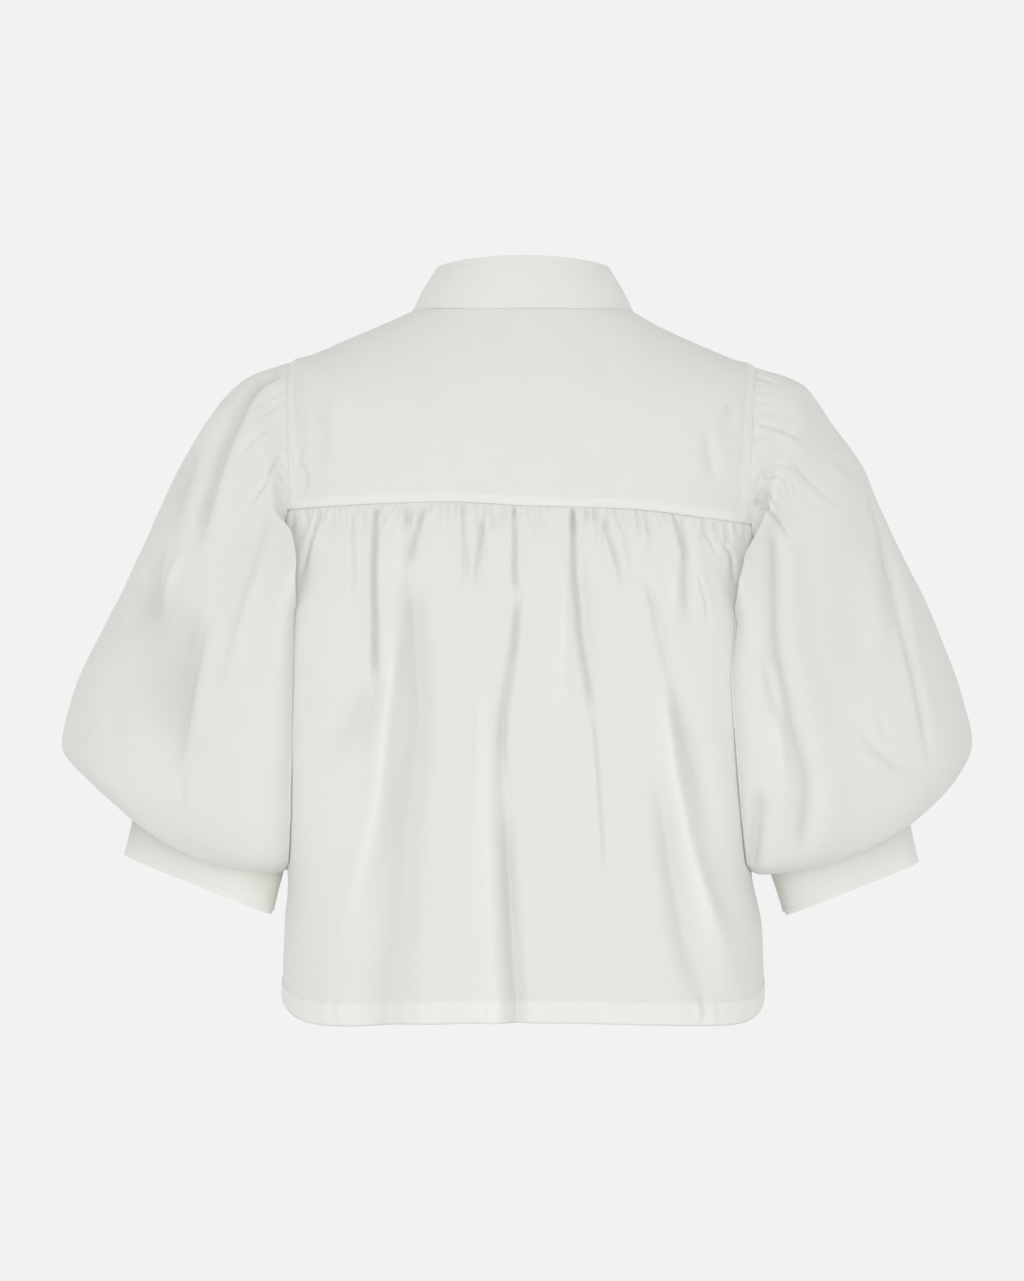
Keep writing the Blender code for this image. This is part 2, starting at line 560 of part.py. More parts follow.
def make_cuff(name, cuff, side, cloth):
    """A plain closed band at the wrist end of a sleeve."""
    angle = np.linspace(0, 2 * math.pi, CUFF_COLUMNS, endpoint=False)
    across, deep = np.cos(angle), np.sin(angle)
    boxy = ((np.abs(across) ** CUFF_SQUARE + np.abs(deep) ** CUFF_SQUARE) ** (-1 / CUFF_SQUARE))[:, None]
    rows = []
    for part in np.linspace(0, 1, CUFF_ROWS + 1):
        ends = SleeveRing(*(np.array(cuff[0]) * (1 - part) + np.array(cuff[1]) * part), CUFF_DEPTH, CUFF_DEPTH, 0)
        middle = 0.5 * np.array([side * (ends.outer_x + ends.inner_x), 0, ends.outer_z + ends.inner_z])
        squared = 1 + (boxy - 1) * part
        rows.append(middle + (sleeve_ring(ends, angle, side) - middle) * squared)
    points = np.array(rows)
    if side < 0:
        points = points[:, ::-1]
    surface_object(name, points, BAND_WALL, cloth, wraps=True)


def make_button(name, point, normal, finish):
    """A turned button with a raised rim, lying on its band."""
    mesh = bpy.data.meshes.new(name)
    edges = [(place, place + 1) for place in range(len(BUTTON_PROFILE) - 1)]
    mesh.from_pydata([(BUTTON_RADIUS * x, 0, BUTTON_HEIGHT * z) for x, z in BUTTON_PROFILE], edges, [])
    obj = bpy.data.objects.new(name, mesh)
    turned = obj.modifiers.new("turned", "SCREW")
    turned.steps = turned.render_steps = BUTTON_STEPS
    turned.use_merge_vertices = True
    turned.merge_threshold = MERGE
    obj.data.materials.append(finish)
    seat = Matrix.Translation(Vector(point + normal * SEAM_GAP))
    obj.matrix_world = seat @ Vector(normal).to_track_quat("Z", "Y").to_matrix().to_4x4()
    bpy.data.collections[COLLECTION].objects.link(obj)


def make_buttons(finish):
    """One on the collar and the rest down the right front's band."""
    downs = np.linspace(0, DOWN["hem"], SAMPLES)
    for index in range(BUTTON_COUNT):
        z = FIRST_BUTTON_Z - BUTTON_PITCH * index
        down = np.interp(-z, -BODY["front_z"](downs), downs)
        place = (np.array(CENTRE_FRONT), np.array(down))
        normal = body_normal(*place)
        point = front_surface(*place, 0) + normal * (WALL + BAND_GAP)
        make_button(f"button_{index + 2}", point, normal, finish)
    base = smooth_body(CENTRE_FRONT, 0)
    top = ring_point(np.array(CENTRE_FRONT), *COLLAR_TOP[2:])
    normal = np.cross((1, 0, 0), top - base)
    normal = normal / np.linalg.norm(normal)
    point = 0.5 * (base + top) + np.array([0, -COLLAR_BOW, 0])
    make_button("button_1", point, normal, finish)


def main():
    clear_scene()
    collection = bpy.data.collections.new(COLLECTION)
    bpy.context.scene.collection.children.link(collection)
    cloth = material("white_shirting", SHIRTING_COLOUR, SHIRTING_ROUGHNESS)
    shell = material("pearl_button", BUTTON_COLOUR, BUTTON_ROUGHNESS)
    make_yoke(cloth)
    make_back_panel(cloth)
    make_front("front_left", 1, cloth)
    make_front("front_right", -1, cloth)
    make_placket("placket_left", 1, cloth)
    make_placket("placket_right", -1, cloth)
    make_collar(cloth)
    make_sleeve("sleeve_left", LEFT_SLEEVE, LEFT_CUFF, 1, cloth)
    make_sleeve("sleeve_right", RIGHT_SLEEVE, RIGHT_CUFF, -1, cloth)
    make_cuff("cuff_left", LEFT_CUFF, 1, cloth)
    make_cuff("cuff_right", RIGHT_CUFF, -1, cloth)
    make_buttons(shell)


main()
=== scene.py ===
"""A white cotton shirt with a stand collar, a gathered back under a deep yoke and balloon sleeves, seen from behind.

Laid out as a Blender add-on and run as a script. Metres, +Z up: the wearer's left is +X and the back faces +Y.
Every piece of cloth is a thin shell on the form of the solid that it stands for, with its creases pressed in.
"""

import json
import math
from collections import namedtuple

import bpy
import numpy as np
from mathutils import Matrix, Vector, noise
from mathutils.bvhtree import BVHTree

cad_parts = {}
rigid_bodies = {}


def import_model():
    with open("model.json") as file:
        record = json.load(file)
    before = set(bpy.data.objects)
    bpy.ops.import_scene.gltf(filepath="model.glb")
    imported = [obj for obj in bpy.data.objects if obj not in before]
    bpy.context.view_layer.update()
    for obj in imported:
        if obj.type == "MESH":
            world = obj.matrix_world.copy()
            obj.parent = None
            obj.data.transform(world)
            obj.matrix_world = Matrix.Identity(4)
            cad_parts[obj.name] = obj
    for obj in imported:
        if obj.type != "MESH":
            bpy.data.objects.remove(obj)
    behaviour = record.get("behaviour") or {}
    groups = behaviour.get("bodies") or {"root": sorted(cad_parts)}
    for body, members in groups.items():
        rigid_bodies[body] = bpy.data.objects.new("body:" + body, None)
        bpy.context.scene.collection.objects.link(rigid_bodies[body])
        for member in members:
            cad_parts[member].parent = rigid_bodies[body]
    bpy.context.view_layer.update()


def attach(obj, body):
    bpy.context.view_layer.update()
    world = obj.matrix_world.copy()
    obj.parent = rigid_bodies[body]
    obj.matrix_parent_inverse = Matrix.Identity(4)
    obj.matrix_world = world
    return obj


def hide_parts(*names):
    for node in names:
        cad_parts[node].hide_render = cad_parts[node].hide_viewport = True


bl_info = {
    "name": "Balloon-sleeve shirt",
    "version": (1, 0, 0),
    "blender": (4, 5, 0),
    "location": "3D View > Sidebar > Shirt",
    "description": "Sews the cloth, stitching and buttons of a gathered shirt over its plain solids",
    "category": "Add Mesh",
}

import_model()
MM = 0.001
SIDES = (("left", 1), ("right", -1))  # side 1 is the wearer's left

# ------------------------------ the shirt's form

# The body: closed rings from the neck seam to the hem. "down" is the length of cloth from the neck seam, back and
# front are how far a ring reaches from the X axis, and square is 2 for an ellipse, more for a boxier ring.
BodyRing = namedtuple("BodyRing", "name down half_width back front side_z back_z front_z square")
BODY_RINGS = (
    BodyRing("neck seam", 0.000, 0.0920, 0.062, 0.084, 0.0030, 0.000, -0.075, 2.0),
    BodyRing("mid shoulder", 0.055, 0.1430, 0.086, 0.098, -0.0195, -0.050, -0.118, 2.2),
    BodyRing("outer shoulder", 0.085, 0.1740, 0.095, 0.105, -0.0330, -0.077, -0.138, 2.4),
    BodyRing("shoulder point", 0.110, 0.1935, 0.101, 0.110, -0.0405, -0.104, -0.158, 2.6),
    BodyRing("yoke seam", 0.165, 0.2180, 0.109, 0.116, -0.1700, -0.158, -0.190, 3.0),
    BodyRing("underarm", 0.250, 0.2000, 0.117, 0.119, -0.2450, -0.245, -0.250, 4.6),
    BodyRing("waist", 0.410, 0.1960, 0.122, 0.120, -0.4050, -0.405, -0.407, 4.8),
    BodyRing("under the sleeves", 0.470, 0.1912, 0.124, 0.122, -0.4650, -0.465, -0.467, 4.4),
    BodyRing("low", 0.515, 0.1980, 0.125, 0.123, -0.5100, -0.509, -0.512, 3.9),
    BodyRing("hem", 0.590, 0.2012, 0.127, 0.125, -0.5890, -0.5788, -0.587, 3.5),
)
DOWN = {ring.name: ring.down for ring in BODY_RINGS}
ARMHOLE_BACK = math.radians(39)  # how far round the body the armhole reaches behind, at the yoke seam
ARMHOLE_FRONT = math.radians(40)  # and in front
SHOULDER_SEAM = math.radians(-11)  # the yoke ends this far in front of the shoulder's ridge
SEAM_TURN = math.asin(-SHOULDER_SEAM / ARMHOLE_FRONT)  # where that is, by the armhole's own angle
CENTRE_FRONT = math.radians(-90)
BACK_FULLNESS = 0.0032  # how far the gathered back swells out below the yoke seam
FRONT_FULLNESS = 0.002
SWAY = 0.0070  # the sides hang this far to the wearer's left between the underarm and the hem
YOKE_SWAY = 0.4  # and the shoulders this much of it
SEAM_DROPS = (  # how much lower the yoke seam hangs than its plain form: (how far to the wearer's left, drop)
    (-0.190, 0.0140), (-0.146, 0.0115), (-0.090, 0.0080), (-0.010, 0.0072), (0.070, 0.0026), (0.190, 0.0020),
)
SHOULDER_DROP = 0.0038  # the right shoulder hangs this much lower than the left
HEM_RISE = 0.022  # how far the hem curves up at the side seams
HEM_CORNER = (15, 19)  # left and right: the higher, the nearer to the side seam it starts to
EDGE_HOLD = 0.010  # the seams at the sides and the armholes hold the creases flat within this distance
EDGE_SINK = 0.0005  # how far the cloth sinks into a side seam
EDGE_WIDTH = 0.0014  # and over what width
STRIP_RISE = 0.0004  # how far the doubled strips along yoke and armholes stand out
STRIP_EDGE = 0.0014  # and the width of their slope
HEM_EDGE = 0.0012  # and of the hem's
HEM_ROWS = 0.563  # from this length down the body the mesh is finer, for the hem
BAND_ROUND = 0.0004  # how far the edges of collar and cuffs are rounded
TOP_GAP = 0.0003  # yoke and fronts start this far below the neck seam
FRONT_REACH = 1.45  # how far round the body the fronts' mesh is drawn in to the armhole, in radians

# A sleeve: rings through an outer and an inner point as seen from behind (x is measured out from the middle of
# the body), how far each reaches behind and in front, how far its middle hangs below those two points, and how
# far behind the body's side its inner point lies, where the sleeve laps over the back.
SleeveRing = namedtuple("SleeveRing", "outer_x outer_z inner_x inner_z back front sag behind")
SLEEVES = {
    1: (
        SleeveRing(0.2293, -0.0530, 0.1840, -0.2460, 0.074, 0.078, 0.000, 0.1020),
        SleeveRing(0.2660, -0.0914, 0.1850, -0.2780, 0.074, 0.077, 0.000, 0.1017),
        SleeveRing(0.3020, -0.1595, 0.1860, -0.3180, 0.074, 0.076, 0.000, 0.1017),
        SleeveRing(0.3455, -0.2544, 0.1870, -0.3650, 0.074, 0.075, 0.000, 0.1020),
        SleeveRing(0.3795, -0.3260, 0.1880, -0.4080, 0.074, 0.074, 0.002, 0.1010),
        SleeveRing(0.3865, -0.3610, 0.1890, -0.4360, 0.072, 0.072, 0.006, 0.0930),
        SleeveRing(0.3700, -0.3830, 0.1910, -0.4540, 0.064, 0.063, 0.014, 0.0800),
        SleeveRing(0.3385, -0.4040, 0.1955, -0.4620, 0.050, 0.048, 0.018, 0.0420),
    ),
    -1: (
        SleeveRing(0.2330, -0.0575, 0.1745, -0.2440, 0.074, 0.078, 0.000, 0.1010),
        SleeveRing(0.2600, -0.0925, 0.1700, -0.2720, 0.074, 0.077, 0.000, 0.1040),
        SleeveRing(0.2880, -0.1330, 0.1675, -0.2990, 0.074, 0.076, 0.000, 0.1060),
        SleeveRing(0.2975, -0.1590, 0.1680, -0.3200, 0.074, 0.076, 0.000, 0.1050),
        SleeveRing(0.3412, -0.2477, 0.1710, -0.3600, 0.073, 0.075, 0.000, 0.1035),
        SleeveRing(0.3690, -0.3233, 0.1750, -0.4050, 0.072, 0.074, 0.002, 0.1000),
        SleeveRing(0.3775, -0.3600, 0.1780, -0.4380, 0.070, 0.071, 0.006, 0.0915),
        SleeveRing(0.3640, -0.3890, 0.1810, -0.4560, 0.062, 0.063, 0.012, 0.0830),
        SleeveRing(0.3385, -0.4095, 0.1900, -0.4630, 0.049, 0.048, 0.015, 0.0450),
    ),
}
SLEEVE_SQUARE = 1.0  # how much boxier than an ellipse a sleeve is beside the body
CuffEnds = namedtuple("CuffEnds", "outer_x outer_z inner_x inner_z")
CUFFS = {  # by side: the ends of its seam and of its lower edge
    1: (CuffEnds(0.3270, -0.4190, 0.2005, -0.4650), CuffEnds(0.3343, -0.4518, 0.2125, -0.5005)),
    -1: (CuffEnds(0.3245, -0.4235, 0.2065, -0.4655), CuffEnds(0.3318, -0.4577, 0.2218, -0.5014)),
}
CUFF_DEPTH = 0.027  # half of it, front to back
CUFF_SQUARE = 3.4
CUFF_SHADE = {1: 2.0, -1: 0.8}  # painted shade: how dark each is painted where it lies under the balloon
CUFF_STITCHING = (0.10, 0.84)  # where its two rows of stitches run, from its seam to its lower edge
COLLAR_STITCHING = (0.09, 0.90)  # and the collar's, from the neck seam to its top
PAINTED_CORNER_LIGHT = 0.7  # painted light: how much the back's corners by the sleeves are lightened, against the shade that falls between sleeve and back
CORNER_PLACE = (0.176, 0.196)  # how far out and down that is
CORNER_SIZE = (0.012, 0.030)
LAPS = {  # by side: how far a sleeve laps over the back just under the yoke, (drop below the neck seam, how far)
    1: ((0.165, 0.0), (0.186, 0.012), (0.205, 0.011), (0.222, 0.0065), (0.250, 0.0)),
    -1: ((0.165, 0.0), (0.190, 0.006), (0.205, 0.009), (0.222, 0.0085), (0.255, 0.0)),
}
BODY_CLEARANCE = 0.0014  # a sleeve that leans on the body stays this far outside it
CLEAR_DROP = 0.185  # where that starts below the neck seam
CLEAR_EASE = 0.03  # and over what height

COLLAR_TOP = BodyRing("collar top", 0.0, 0.0725, 0.0550, 0.0700, 0.0390, 0.0435, -0.0380, 2.0)
COLLAR_BOW = 0.0010  # how far the band bows out between its edges
COLLAR_CORNER = 0.014  # how far from its ends the band's top edge rounds down
LAP = 0.013  # each front reaches this far past the middle
LAP_SINK = 0.0032  # the left front and its band lie this much further in
LAP_EASE = 0.035  # and come out again over this width
BUTTON_COUNT = 7
FIRST_BUTTON_Z = -0.104
BUTTON_PITCH = 0.073
TIGHTNESS = 0.24  # how far a trough draws in the cloth beside it
TINY = 1e-4  # step for a surface's slope
BROAD = 3.5 * MM  # a crease at least this wide gets a soft painted shade, a narrower one a painted dark line
LINE_SHADE = 0.05  # how much darker a sharp crease is drawn than its shadow alone makes it
SINK_SHADE = 0.5  # painted shade: how dark a broad trough is painted
LEE_SHADE = 0.5  # and how much darker its slope away from the light is painted
DEEP = 6 * MM  # the depth at which a broad trough has its whole painted shade

# ------------------------------ the creases

# Each crease is a path of places as seen from behind, in millimetres out from the middle and down from the neck
# seam. "rise" is how far its line stands out, below 0 for a trough, and "width" its half width, both in
# millimetres. "spread" is how much wider it is at its end. It grows over the first part of its length, or starts
# at once from a seam, and fades over the last part, or runs on.
Crease = namedtuple("Crease", "path rise width spread grow fade", defaults=(1.4, 0.0, 0.5))


def crease_table(*rows):
    return [Crease(*row) for row in rows]


BACK_CREASES = crease_table(
    (((165, 172), (173, 200), (179, 228)), -2.4, 1.8),
    (((138, 169), (137, 195), (136, 215), (137, 240), (139, 258)), -1.9, 1.5),
    (((119, 169), (119, 190), (120, 220), (119, 260), (119, 290), (121, 315)), -5.6, 2.5, 1.2, 0.0, 0.2),
    (((120, 300), (126, 330), (138, 352), (150, 372), (158, 396)), -5.0, 8.0, 1.6, 0.3),
    (((108, 167), (113, 180), (118, 191)), -1.7, 1.4),
    (((102, 164), (101, 177)), -1.9, 1.3),
    (((94, 164), (92, 178), (91, 189)), -1.2, 1.5),
    (((79, 164), (84, 180), (88, 196), (90, 206), (93, 220)), -4.4, 1.9, 1.8, 0.0, 0.3),
    (((90, 210), (87, 245), (84, 290), (82, 325), (84, 360), (89, 400), (93, 445), (97, 500), (104, 550),
      (108, 600)), -7.6, 8.4, 2.1, 0.12, 0.0),
    (((101, 245), (105, 290), (110, 340), (114, 380), (120, 420), (130, 460), (142, 500), (152, 535)),
     6.1, 5.0, 2.2, 0.2, 0.3),
    (((99, 172), (100, 215), (101, 250)), 2.3, 4.5),
    (((48, 163), (48, 180), (47, 200), (46, 220), (45, 247)), -2.0, 1.6),
    (((52, 168), (52, 215), (53, 265)), 1.1, 2.6),
    (((30, 162), (33, 182), (35, 200), (38, 222), (38, 250)), -1.8, 1.5, 1.6),
    (((38, 182), (40, 205), (41, 235)), 1.4, 2.4),
    (((31, 180), (33, 215), (30, 245)), -2.3, 4.0),
    (((7, 165), (7, 190), (7, 215), (5, 240)), -3.8, 1.8, 1.4, 0.0, 0.2),
    (((3, 225), (5, 252), (8, 280), (11, 300), (15, 325), (17, 350), (16, 380), (14, 408)),
     -5.4, 2.6, 1.8, 0.2, 0.3),
    (((15, 380), (13, 430), (11, 470), (8, 520), (5, 560), (4, 600)), -6.1, 5.0, 1.6, 0.3, 0.0),
    (((37, 285), (40, 330), (42, 380), (45, 430), (44, 500), (41, 565)), -1.2, 1.9, 1.6, 0.2),
    (((27, 290), (30, 340), (30, 390), (29, 440), (27, 500), (24, 560), (22, 600)), 4.7, 8.0, 1.2, 0.3, 0.0),
    (((-9, 168), (-10, 184), (-14, 197)), -1.5, 1.3),
    (((-40, 165), (-40, 190), (-40, 215), (-42, 240), (-44, 265), (-47, 285), (-51, 305), (-54, 325),
      (-57, 347)), -4.5, 2.3, 1.3, 0.0, 0.2),
    (((-55, 330), (-59, 370), (-61, 400), (-63, 425), (-64, 445), (-64, 472)), -2.2, 1.6, 1.0, 0.1, 0.3),
    (((-32, 195), (-32, 250), (-32, 300), (-34, 360)), 3.4, 5.0, 1.4, 0.3),
    (((-50, 195), (-55, 240), (-57, 290), (-62, 345)), -2.5, 7.0, 1.4, 0.3),
    (((-56, 165), (-60, 186), (-62, 212)), -1.5, 2.0),
    (((-63, 164), (-66, 180), (-70, 195), (-76, 215), (-81, 228), (-88, 246)), -2.8, 1.8),
    (((-62, 185), (-70, 210), (-79, 235)), 1.2, 2.4, 1.4, 0.3),
    (((-72, 163), (-76, 176), (-81, 188), (-83, 200), (-86, 212), (-92, 234)), -1.6, 1.4),
    (((-96, 168), (-96, 187)), -1.4, 1.6),
    (((-104, 170), (-103, 195), (-104, 216)), -1.9, 3.2),
    (((-97, 215), (-105, 248), (-110, 270), (-116, 290), (-121, 306)), -3.8, 3.0, 1.6, 0.3, 0.2),
    (((-119, 290), (-125, 325), (-133, 355), (-142, 390), (-150, 425), (-154, 450)), -4.6, 7.0, 1.1, 0.3),
    (((-110, 290), (-114, 335), (-119, 375), (-126, 410), (-134, 445), (-146, 485), (-160, 520),
      (-172, 550)), 6.8, 5.5, 1.7, 0.3, 0.3),
    (((-108, 370), (-116, 430), (-122, 470), (-128, 505), (-137, 535), (-149, 562), (-154, 580)),
     -5.0, 7.4, 1.6, 0.3, 0.2),
    (((-121, 171), (-125, 186), (-128, 200), (-132, 217)), -2.8, 1.8, 1.4, 0.0, 0.4),
    (((-135, 216), (-141, 224), (-144, 236), (-147, 250), (-148, 268)), -1.5, 1.4, 1.2, 0.2),
    (((-129, 180), (-131, 205), (-132, 240), (-133, 272)), -3.4, 4.0),
    (((-118, 180), (-123, 210)), 1.2, 2.6, 1.4, 0.3),
    (((-121, 212), (-121, 258)), 2.0, 4.0, 1.4, 0.3),
    (((-147, 186), (-151, 196), (-157, 208)), -1.5, 1.4),
    (((-162, 198), (-167, 206), (-168, 230)), -1.7, 1.6),
)
YOKE_CREASES = crease_table(
    (((162, 58), (166, 82), (163, 104), (166, 128), (171, 150)), -2.2, 5.0, 1.2, 0.3, 0.4),
    (((150, 70), (152, 100), (154, 128)), 1.4, 7.0, 1.2, 0.4),
    (((178, 112), (183, 126), (177, 140), (180, 158)), -1.8, 1.8, 1.2, 0.2, 0.3),
    (((-147, 96), (-150, 112), (-153, 132), (-158, 150)), -1.8, 4.5, 1.2, 0.3, 0.4),
    (((-172, 74), (-168, 96), (-166, 118)), -1.2, 5.0, 1.2, 0.3),
    (((-60, 24), (-66, 52), (-70, 84)), -0.9, 9.0, 1.4, 0.3),
    (((70, 30), (76, 60), (84, 96), (92, 130)), -0.9, 10.0, 1.4, 0.3),
)
FRONT_CREASES = crease_table(
    (((62, 95), (66, 130), (72, 175), (76, 220), (80, 270)), -3.9, 4.0, 1.8, 0.1),
    (((88, 70), (95, 110), (104, 150), (110, 200), (116, 260), (124, 330)), -2.8, 3.4, 2.2, 0.1),
    (((48, 110), (50, 150), (54, 190)), -1.6, 2.6, 1.8),
    (((120, 60), (128, 90), (136, 120), (141, 150)), -1.8, 2.4, 1.8, 0.1),
    (((76, 250), (82, 320), (92, 390), (96, 450), (98, 520), (100, 600)), -5.7, 9.0, 1.5, 0.3, 0.0),
    (((104, 300), (112, 370), (122, 440), (132, 520), (138, 600)), 4.8, 8.0, 1.4, 0.3, 0.0),
    (((40, 330), (42, 400), (48, 470), (50, 540), (50, 600)), 3.6, 9.0, 1.2, 0.3, 0.0),
    (((140, 270), (144, 340), (150, 420), (156, 500), (158, 600)), -4.5, 8.0, 1.4, 0.3, 0.0),
    (((168, 235), (158, 252), (142, 268), (128, 278)), -1.8, 3.0, 1.6, 0.1),
)
LEFT_SLEEVE_CREASES = crease_table(
    (((204, 52), (216, 59), (227, 73), (237, 96), (246, 117), (253, 140), (259, 162), (265, 186), (271, 206)),
     -6.4, 3.9, 1.3, 0.0, 0.25),
    (((238, 72), (255, 98), (267, 125), (275, 152)), 3.9, 6.0, 1.2, 0.3),
    (((262, 103), (272, 125), (283, 150), (290, 175), (298, 198)), -4.8, 5.0, 1.2, 0.3),
    (((281, 138), (280, 160), (277, 180)), -1.6, 2.0, 1.2, 0.2),
    (((278, 196), (286, 215), (292, 232), (297, 252)), 2.2, 3.0, 1.2, 0.3),
    (((297, 192), (304, 215), (309, 240), (313, 272)), -6.0, 6.0, 1.2, 0.3),
    (((323, 212), (322, 240), (321, 275)), -1.6, 3.0, 1.2, 0.3),
    (((254, 250), (262, 290), (268, 315), (274, 340), (280, 365), (285, 388)), -3.0, 3.8, 1.2, 0.2, 0.3),
    (((276, 225), (279, 290), (285, 340), (291, 390)), -8.0, 13.0, 1.2, 0.3),
    (((264, 232), (269, 285), (276, 335), (283, 380)), -4.5, 7.0, 1.3, 0.3),
    (((306, 215), (304, 260), (304, 310), (308, 360)), -8.0, 17.0, 1.2, 0.25, 0.4),
    (((206, 166), (213, 190), (218, 212), (226, 233), (234, 258), (240, 285), (246, 315), (250, 345),
      (253, 382)), -1.9, 3.6, 1.6, 0.1),
    (((208, 200), (220, 240), (229, 280), (237, 325)), 2.4, 7.0, 1.4, 0.3),
    (((199, 123), (207, 141), (216, 154), (229, 171)), -1.9, 1.7, 1.2),
    (((208, 99), (222, 110), (234, 124)), -1.6, 2.2, 1.2, 0.1),
    (((202, 70), (212, 76), (221, 85)), -1.1, 1.8),
    (((203, 81), (214, 88), (224, 99)), -1.1, 1.8),
    (((376, 362), (363, 350), (350, 340), (339, 333)), -1.3, 3.0, 1.2, 0.2),
    (((277, 380), (276, 416)), -1.2, 3.0, 1.2, 0.3),
    (((336, 300), (334, 345), (330, 385)), -1.8, 8.0, 1.2, 0.3),
)
RIGHT_SLEEVE_CREASES = crease_table(
    (((196, 96), (209, 100), (222, 106), (235, 111), (248, 117)), -2.0, 1.7, 1.2),
    (((253, 124), (267, 130), (284, 137)), -1.7, 2.2, 1.2, 0.2),
    (((203, 129), (215, 131), (224, 135), (231, 141), (241, 149), (251, 157), (263, 163), (282, 167)),
     -1.8, 1.8, 1.3, 0.1),
    (((196, 139), (210, 140), (223, 142)), -1.2, 1.5),
    (((205, 151), (217, 147), (226, 143)), -1.4, 1.5, 1.0, 0.2),
    (((189, 150), (200, 157), (208, 164), (214, 175)), -1.9, 1.6),
    (((189, 159), (198, 166), (207, 177), (215, 187), (221, 192)), -2.6, 1.7, 1.1, 0.0, 0.3),
    (((202, 176), (206, 205), (206, 240), (207, 275), (212, 302), (218, 330), (226, 360), (232, 390),
      (230, 420), (226, 450)), -4.2, 5.4, 1.7, 0.1, 0.1),
    (((193, 286), (200, 320), (208, 344)), -2.0, 4.0, 1.2, 0.3),
    (((201, 325), (207, 370), (210, 405)), 2.1, 5.0, 1.2, 0.3),
    (((289, 158), (298, 185), (303, 210), (309, 235), (312, 260), (317, 285), (322, 310), (328, 340),
      (332, 365), (334, 382)), -3.6, 3.2, 1.1, 0.0, 0.25),
    (((296, 180), (302, 230), (307, 290)), -3.3, 6.0, 1.2, 0.3),
    (((268, 342), (285, 360), (300, 372), (318, 382), (340, 391), (352, 398)), -2.5, 4.0, 1.2, 0.3),
    (((290, 336), (297, 358)), -1.1, 3.0, 1.2, 0.3),
    (((191, 386), (188, 420), (184, 452)), -5.7, 5.5, 1.2, 0.3, 0.0),
    (((262, 195), (268, 260), (276, 335)), -1.8, 13.0, 1.2, 0.3),
)

PUCKER_SEED = 11  # each seam's gathers have their own seed from this one on
BACK_PUCKERS = 62  # fine gathers along the yoke seam
CAP_PUCKERS = 46  # over the top of each armhole
CUFF_PUCKERS = 54  # round each cuff seam
HEM_PUCKERS = 40


# ------------------------------ forms


def through(knots, values):
    """A smooth function through the values at the knots, which never overshoots between them."""
    knots = np.array(knots, float)
    values = np.array(values, float)
    steps = np.diff(knots)
    slopes = (np.diff(values, axis=0).T / steps).T
    before, after = slopes[:-1], slopes[1:]
    turning = before * after <= 0
    total = np.where(turning, 1, before + after)
    inner = np.where(turning, 0, 2 * before * after / total)
    tangents = np.concatenate([slopes[:1], inner, slopes[-1:]])

    def at(where):
        where = np.clip(where, knots[0], knots[-1])
        left = np.clip(np.searchsorted(knots, where, side="right") - 1, 0, len(steps) - 1)
        step = steps[left]
        part = (where - knots[left]) / step
        if values.ndim > 1:
            part = part[..., None]
            step = step[..., None]
        rise = part * part * (3 - 2 * part)
        leave = part * (1 - part) ** 2 * step
        reach = part * part * (part - 1) * step
        low, high = values[left], values[left + 1]
        return low + (high - low) * rise + tangents[left] * leave + tangents[left + 1] * reach

    return at


BODY = {
    column: through([ring.down for ring in BODY_RINGS], [getattr(ring, column) for ring in BODY_RINGS])
    for column in BodyRing._fields[2:]
}


def ease(part):
    """0 below 0, 1 above 1, and a smooth rise between."""
    part = np.clip(part, 0, 1)
    return part * part * (3 - 2 * part)


def bell(offset, width):
    return np.exp(-((offset / width) ** 2))


def unit(vectors):
    return vectors / np.maximum(np.linalg.norm(vectors, axis=-1, keepdims=True), 1e-12)


def run_along(curve):
    """How far along a row of points each one is."""
    return np.concatenate([[0], np.cumsum(np.linalg.norm(np.diff(curve, axis=0), axis=-1))])


def boxiness(across, deep, square):
    """What takes a point of a circle out to a boxier ring: 1 for a square of 2."""
    return (np.abs(across) ** square + np.abs(deep) ** square) ** (-1 / square)


def ring_point(angle, half_width, back, front, side_z, back_z, front_z, square):
    """A point of a ring, at an angle round it: 0 the wearer's left, 90 degrees the back, 180 the right."""
    across, deep = np.cos(angle), np.sin(angle)
    boxy = boxiness(across, deep, square)
    reach = np.where(deep > 0, back, front)
    level = np.where(deep > 0, back_z, front_z)
    height = side_z + (level - side_z) * deep * deep
    return np.stack([half_width * across * boxy, reach * deep * boxy, height], -1)


def smooth_body(angle, down):
    """The body's outer face before its creases, by the angle round it and the length down from the neck seam."""
    angle, down = np.broadcast_arrays(np.asarray(angle, float), np.asarray(down, float))
    return ring_point(angle, *(BODY[column](down) for column in BodyRing._fields[2:]))


def body_normal(angle, down):
    angle, down = np.broadcast_arrays(np.asarray(angle, float), np.asarray(down, float))
    round_it = smooth_body(angle + TINY, down) - smooth_body(angle - TINY, down)
    low = np.clip(down - TINY, 0, None)
    along = smooth_body(angle, low + 2 * TINY) - smooth_body(angle, low)
    return unit(np.cross(along, round_it))


def armhole_down(turn):
    """How far down the armhole's edge is, by its own angle from the shoulder point, 0, to the underarm."""
    top, middle, bottom = DOWN["shoulder point"], DOWN["yoke seam"], DOWN["underarm"]
    upper = top + (middle - top) * (1 - np.cos(turn))
    lower = middle - (bottom - middle) * np.cos(turn)
    return np.where(turn <= math.pi / 2, upper, lower)


def armhole_turn(down):
    """The armhole's own angle at a length down the body, and where the armhole has ended, 180 degrees."""
    top, middle, bottom = DOWN["shoulder point"], DOWN["yoke seam"], DOWN["underarm"]
    upper = np.arccos(np.clip(1 - (down - top) / (middle - top), -1, 1))
    lower = np.arccos(np.clip((middle - down) / (bottom - middle), -1, 1))
    return np.where(down <= middle, upper, lower)


